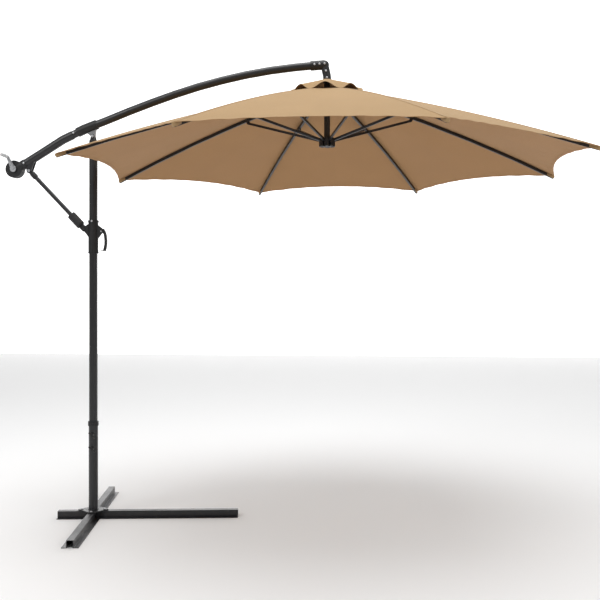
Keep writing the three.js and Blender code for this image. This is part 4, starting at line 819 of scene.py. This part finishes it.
class UMBRELLA_OT_stage(Step):
    """Camera, floor, backdrop and lights."""
    bl_idname = "umbrella.stage"
    bl_label = "Stage"

    def execute(self, context):
        scene, s = context.scene, context.scene.umbrella_stage
        camera = bpy.data.objects.new("camera", bpy.data.cameras.new("camera"))
        camera.location = s.eye
        camera.rotation_euler = (math.pi / 2, 0, s.heading)
        camera.data.sensor_width = SENSOR
        camera.data.lens = s.lens
        camera.data.shift_y = s.rise
        camera.data.clip_end = CAMERA_REACH
        scene.collection.objects.link(camera)
        scene.camera = camera

        world = bpy.data.worlds.new("room")
        world.use_nodes = True
        room = world.node_tree.nodes["Background"]
        room.inputs["Color"].default_value = (1.0, 1.0, 1.0, 1.0)
        room.inputs["Strength"].default_value = s.air
        scene.world = world
        scene.view_settings.view_transform = "Standard"
        for name, place, aim, size, power in LIGHTS:
            lamp = bpy.data.objects.new(name, bpy.data.lights.new(name, "AREA"))
            lamp.data.shape, lamp.data.size, lamp.data.energy = "SQUARE", size, power
            way = unit(np.array(aim) - np.array(place))
            lamp.location = place
            lamp.rotation_euler = (math.acos(-way[2]), 0, math.atan2(way[1], way[0]) - math.pi / 2)
            scene.collection.objects.link(lamp)

        look = Nodes("pale floor", (0.86, 0.86, 0.86), roughness=0.9)
        look.drive("Roughness", look.span(look.noise(look.place(), scale=1.5), (0.3, 0.7), (0.85, 0.95)))
        look.dial("Specular IOR Level", 0.1)
        half = s.floor / 2
        faces = grid_faces(PLANE_POINTS, PLANE_POINTS)
        level = np.linspace(-half, half, PLANE_POINTS)
        x, y = np.meshgrid(level, level)
        ground = np.stack([x, y, np.full_like(x, -FLOOR_DROP)], axis=-1)
        mesh_object("floor", ground, faces, look.material, closed=False)

        white = Nodes("white backdrop", (1.0, 1.0, 1.0), roughness=1.0)
        white.dial("Emission Color", (1.0, 1.0, 1.0, 1.0))
        white.dial("Emission Strength", s.screen)
        x, z = np.meshgrid(level, np.linspace(BACKDROP_LOW, half / 2, PLANE_POINTS))
        screen = np.stack([x, np.full_like(x, half * BACKDROP_PLACE), z], axis=-1)
        mesh_object("backdrop", screen, faces, white.material, closed=False)
        return {"FINISHED"}


class UMBRELLA_OT_steel(Step):
    """Powder coat on the tubes, bars, ribs and stretchers, and the weld round the socket."""
    bl_idname = "umbrella.steel"
    bl_label = "Steel pieces"

    def execute(self, context):
        f = context.scene.umbrella_frame
        coat = powder_coat(COAT, f.coat[:])
        finish_nodes(STEEL_NODES, coat, f.edge)
        bolt_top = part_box("foot_bolt_1")[1][2]
        weld = mesh_object("socket_weld", *weld_ring(bolt_top - WELD_DEPTH), coat, "base")
        return {"FINISHED"}


class UMBRELLA_OT_plastic(Step):
    """Grained plastic on the moulded fittings, the saddle with its plated gusset, the brake and the cord."""
    bl_idname = "umbrella.plastic"
    bl_label = "Moulded pieces"

    def execute(self, context):
        f = context.scene.umbrella_frame
        finish_nodes(PLASTIC_NODES, moulded(PLASTIC, f.plastic[:]), f.edge)
        finish_nodes(("arm_saddle",), saddle_finish("saddle and gusset", f.plastic[:], f.zinc[:]), f.edge)
        finish_nodes(("brake_shoe",), moulded("brake rubber", shade(f.plastic[:], 0.8)), f.edge)
        finish_nodes(("lift_cord",), braided("braided cord", CORD_COLOUR), CORD_EDGE)
        return {"FINISHED"}


class UMBRELLA_OT_bright(Step):
    """Zinc plate on the crank, bolts and pins."""
    bl_idname = "umbrella.bright"
    bl_label = "Bright pieces"

    def execute(self, context):
        f = context.scene.umbrella_frame
        finish_nodes(BRIGHT_NODES, plated(ZINC, f.zinc[:]), f.edge)
        return {"FINISHED"}


class UMBRELLA_OT_canopy(Step):
    """The eight fabric sections with hems, seams over the ribs and pockets on the rib ends."""
    bl_idname = "umbrella.canopy"
    bl_label = "Canopy"

    def execute(self, context):
        s = context.scene.umbrella_canopy
        woven(OUTER, s.colour[:])
        # The inner cloth's warmer colour is a painted glow of light through the fabric.
        inner = woven(INNER_GLOW, s.underside[:], dark=0.86)
        hem_look = stitched(HEM, s.colour[:], STITCH_ROWS["hem"])
        seam_look = stitched("felled seam", s.colour[:], STITCH_ROWS["seam"])
        half_cloth = s.thickness / 2
        r = np.linspace(s.vent + SEAM_INSET[0], s.rim - SEAM_INSET[1], SEAM_STEPS)
        for i in range(RIB_COUNT):
            number = i + 1
            body, joint, node = f"rib_{number}", f"rib_fold_{number}", f"canvas_{number}"
            out, side = heading(i)
            lean = out * STRIP_TILT + UP
            sheet = section_grid(s, i)
            section = cloth_object(f"canopy_section_{number}", sheet, body, s.thickness)
            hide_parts(node)

            rim_path = section_grid(s, i, (1, HEM_STEPS), (HEM_AT, HEM_AT))[0][0] + half_cloth * UP
            hem = strip_object(f"canopy_hem_{number}", rim_path, lean, s.hem / 2, s.thickness + HEM_EXTRA,
                               hem_look, body, inner)
            seam_path = placed(r, 0 * r, cloth_height(r) + s.thickness, i)
            seam = strip_object(f"rib_seam_{number}", seam_path, lean, SEAM_HALF, SEAM_HEIGHT,
                                seam_look, body)
            pocket = pocket_object(f"rib_pocket_{number}", i, seam_look, body)
            for piece in (section, hem):
                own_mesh(piece)
        return {"FINISHED"}


class UMBRELLA_OT_cap(Step):
    """The raised vent cap in eight arched sections with a bound edge."""
    bl_idname = "umbrella.cap"
    bl_label = "Vent cap"

    def execute(self, context):
        s = context.scene.umbrella_canopy
        for i in range(RIB_COUNT):
            number = i + 1
            body, node = f"rib_{number}", f"canvas_{number}"
            out = heading(i)[0]
            sheet = cap_grid(s, i)
            cap = cloth_object(f"vent_cap_{number}", sheet, None, s.thickness)
            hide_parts(node)
            edge = sheet[0][-1] + s.thickness / 2 * UP
            bound = strip_object(f"vent_cap_hem_{number}", edge, out * CAP_TILT + UP, CAP_HEM_HALF,
                                 s.thickness + CAP_HEM_EXTRA, bpy.data.materials[HEM], None)
            for piece in (cap, bound):
                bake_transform(piece)
        return {"FINISHED"}


class UMBRELLA_OT_screws(Step):
    """Small bright screws on the elbow, saddle, arm's neck and slider."""
    bl_idname = "umbrella.screws"
    bl_label = "Screws"

    def execute(self, context):
        radius = context.scene.umbrella_frame.screw
        elbow_side, leg_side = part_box("elbow")[0][1], -0.0228
        collar_low, collar_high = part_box("slider_collar")
        for name, body, place in (
            ("elbow_screw_1", "arm", (1.276, elbow_side, 2.5695)),
            ("elbow_screw_2", "arm", (1.304, elbow_side, 2.5715)),
            ("elbow_screw_3", "arm", (1.3325, -0.0262, 2.5730)),
            ("elbow_screw_4", "arm", (1.3400, leg_side, 2.5330)),
            ("elbow_screw_5", "arm", (1.3450, leg_side, 2.4960)),
            ("saddle_screw", "arm", (-0.110, -0.0246, 2.2065)),
            ("neck_screw", "arm", (-0.4035, -0.0277, 2.0370)),
            ("slider_screw", "slider", (0.0, collar_low[1], collar_high[2] - SCREW_DROP)),
        ):
            shell = screw_head(place, TOWARDS_CRANK, radius)
            mesh_object(name, *shell, bpy.data.materials[ZINC], body)
        return {"FINISHED"}


class UMBRELLA_OT_grips(Step):
    """Ribs on the strut's grip and the lever, and the crank's turned grip."""
    bl_idname = "umbrella.grips"
    bl_label = "Grips"

    def execute(self, context):
        plastic = bpy.data.materials[PLASTIC]
        sleeve = mesh_object("strut_grip_ribs", *strut_sleeve(), plastic, "strut")
        ribs = mesh_object("lever_ribs", *joined(lever_rib_shells()), plastic, "lever")
        look = moulded("pale grip plastic", context.scene.umbrella_frame.grip[:])
        shells = grip_shells(*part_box("crank_grip"))
        grip = mesh_object("crank_grip_turned", *joined(shells), look, "grip")
        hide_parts("crank_grip")
        return {"FINISHED"}


class UMBRELLA_PT_panel(bpy.types.Panel):
    """The umbrella's steps and sizes."""
    bl_label = "Umbrella"
    bl_idname = "UMBRELLA_PT_panel"
    bl_space_type = "VIEW_3D"
    bl_region_type = "UI"
    bl_category = "Umbrella"

    def draw(self, context):
        for step in STEPS:
            self.layout.operator(step.bl_idname)
        for key, group in GROUPS.items():
            box = self.layout.box()
            for name in group.__annotations__:
                box.prop(getattr(context.scene, key), name)


STEPS = (
    UMBRELLA_OT_stage, UMBRELLA_OT_steel, UMBRELLA_OT_plastic, UMBRELLA_OT_bright, UMBRELLA_OT_canopy,
    UMBRELLA_OT_cap, UMBRELLA_OT_screws, UMBRELLA_OT_grips,
)
GROUPS = {"umbrella_canopy": CanopySettings, "umbrella_frame": FrameSettings, "umbrella_stage": StageSettings}


def register():
    for group in GROUPS.values():
        bpy.utils.register_class(group)
    for key, group in GROUPS.items():
        setattr(bpy.types.Scene, key, bpy.props.PointerProperty(type=group))
    for step in STEPS:
        bpy.utils.register_class(step)
    bpy.utils.register_class(UMBRELLA_PT_panel)


def unregister():
    bpy.utils.unregister_class(UMBRELLA_PT_panel)
    for step in reversed(STEPS):
        bpy.utils.unregister_class(step)
    for key in GROUPS:
        delattr(bpy.types.Scene, key)
    for group in GROUPS.values():
        bpy.utils.unregister_class(group)


def main():
    register()
    bpy.ops.umbrella.stage()
    bpy.ops.umbrella.steel()
    bpy.ops.umbrella.plastic()
    bpy.ops.umbrella.bright()
    bpy.ops.umbrella.canopy()
    bpy.ops.umbrella.cap()
    bpy.ops.umbrella.screws()
    bpy.ops.umbrella.grips()
    bpy.context.view_layer.update()


if __name__ == "__main__":
    main()
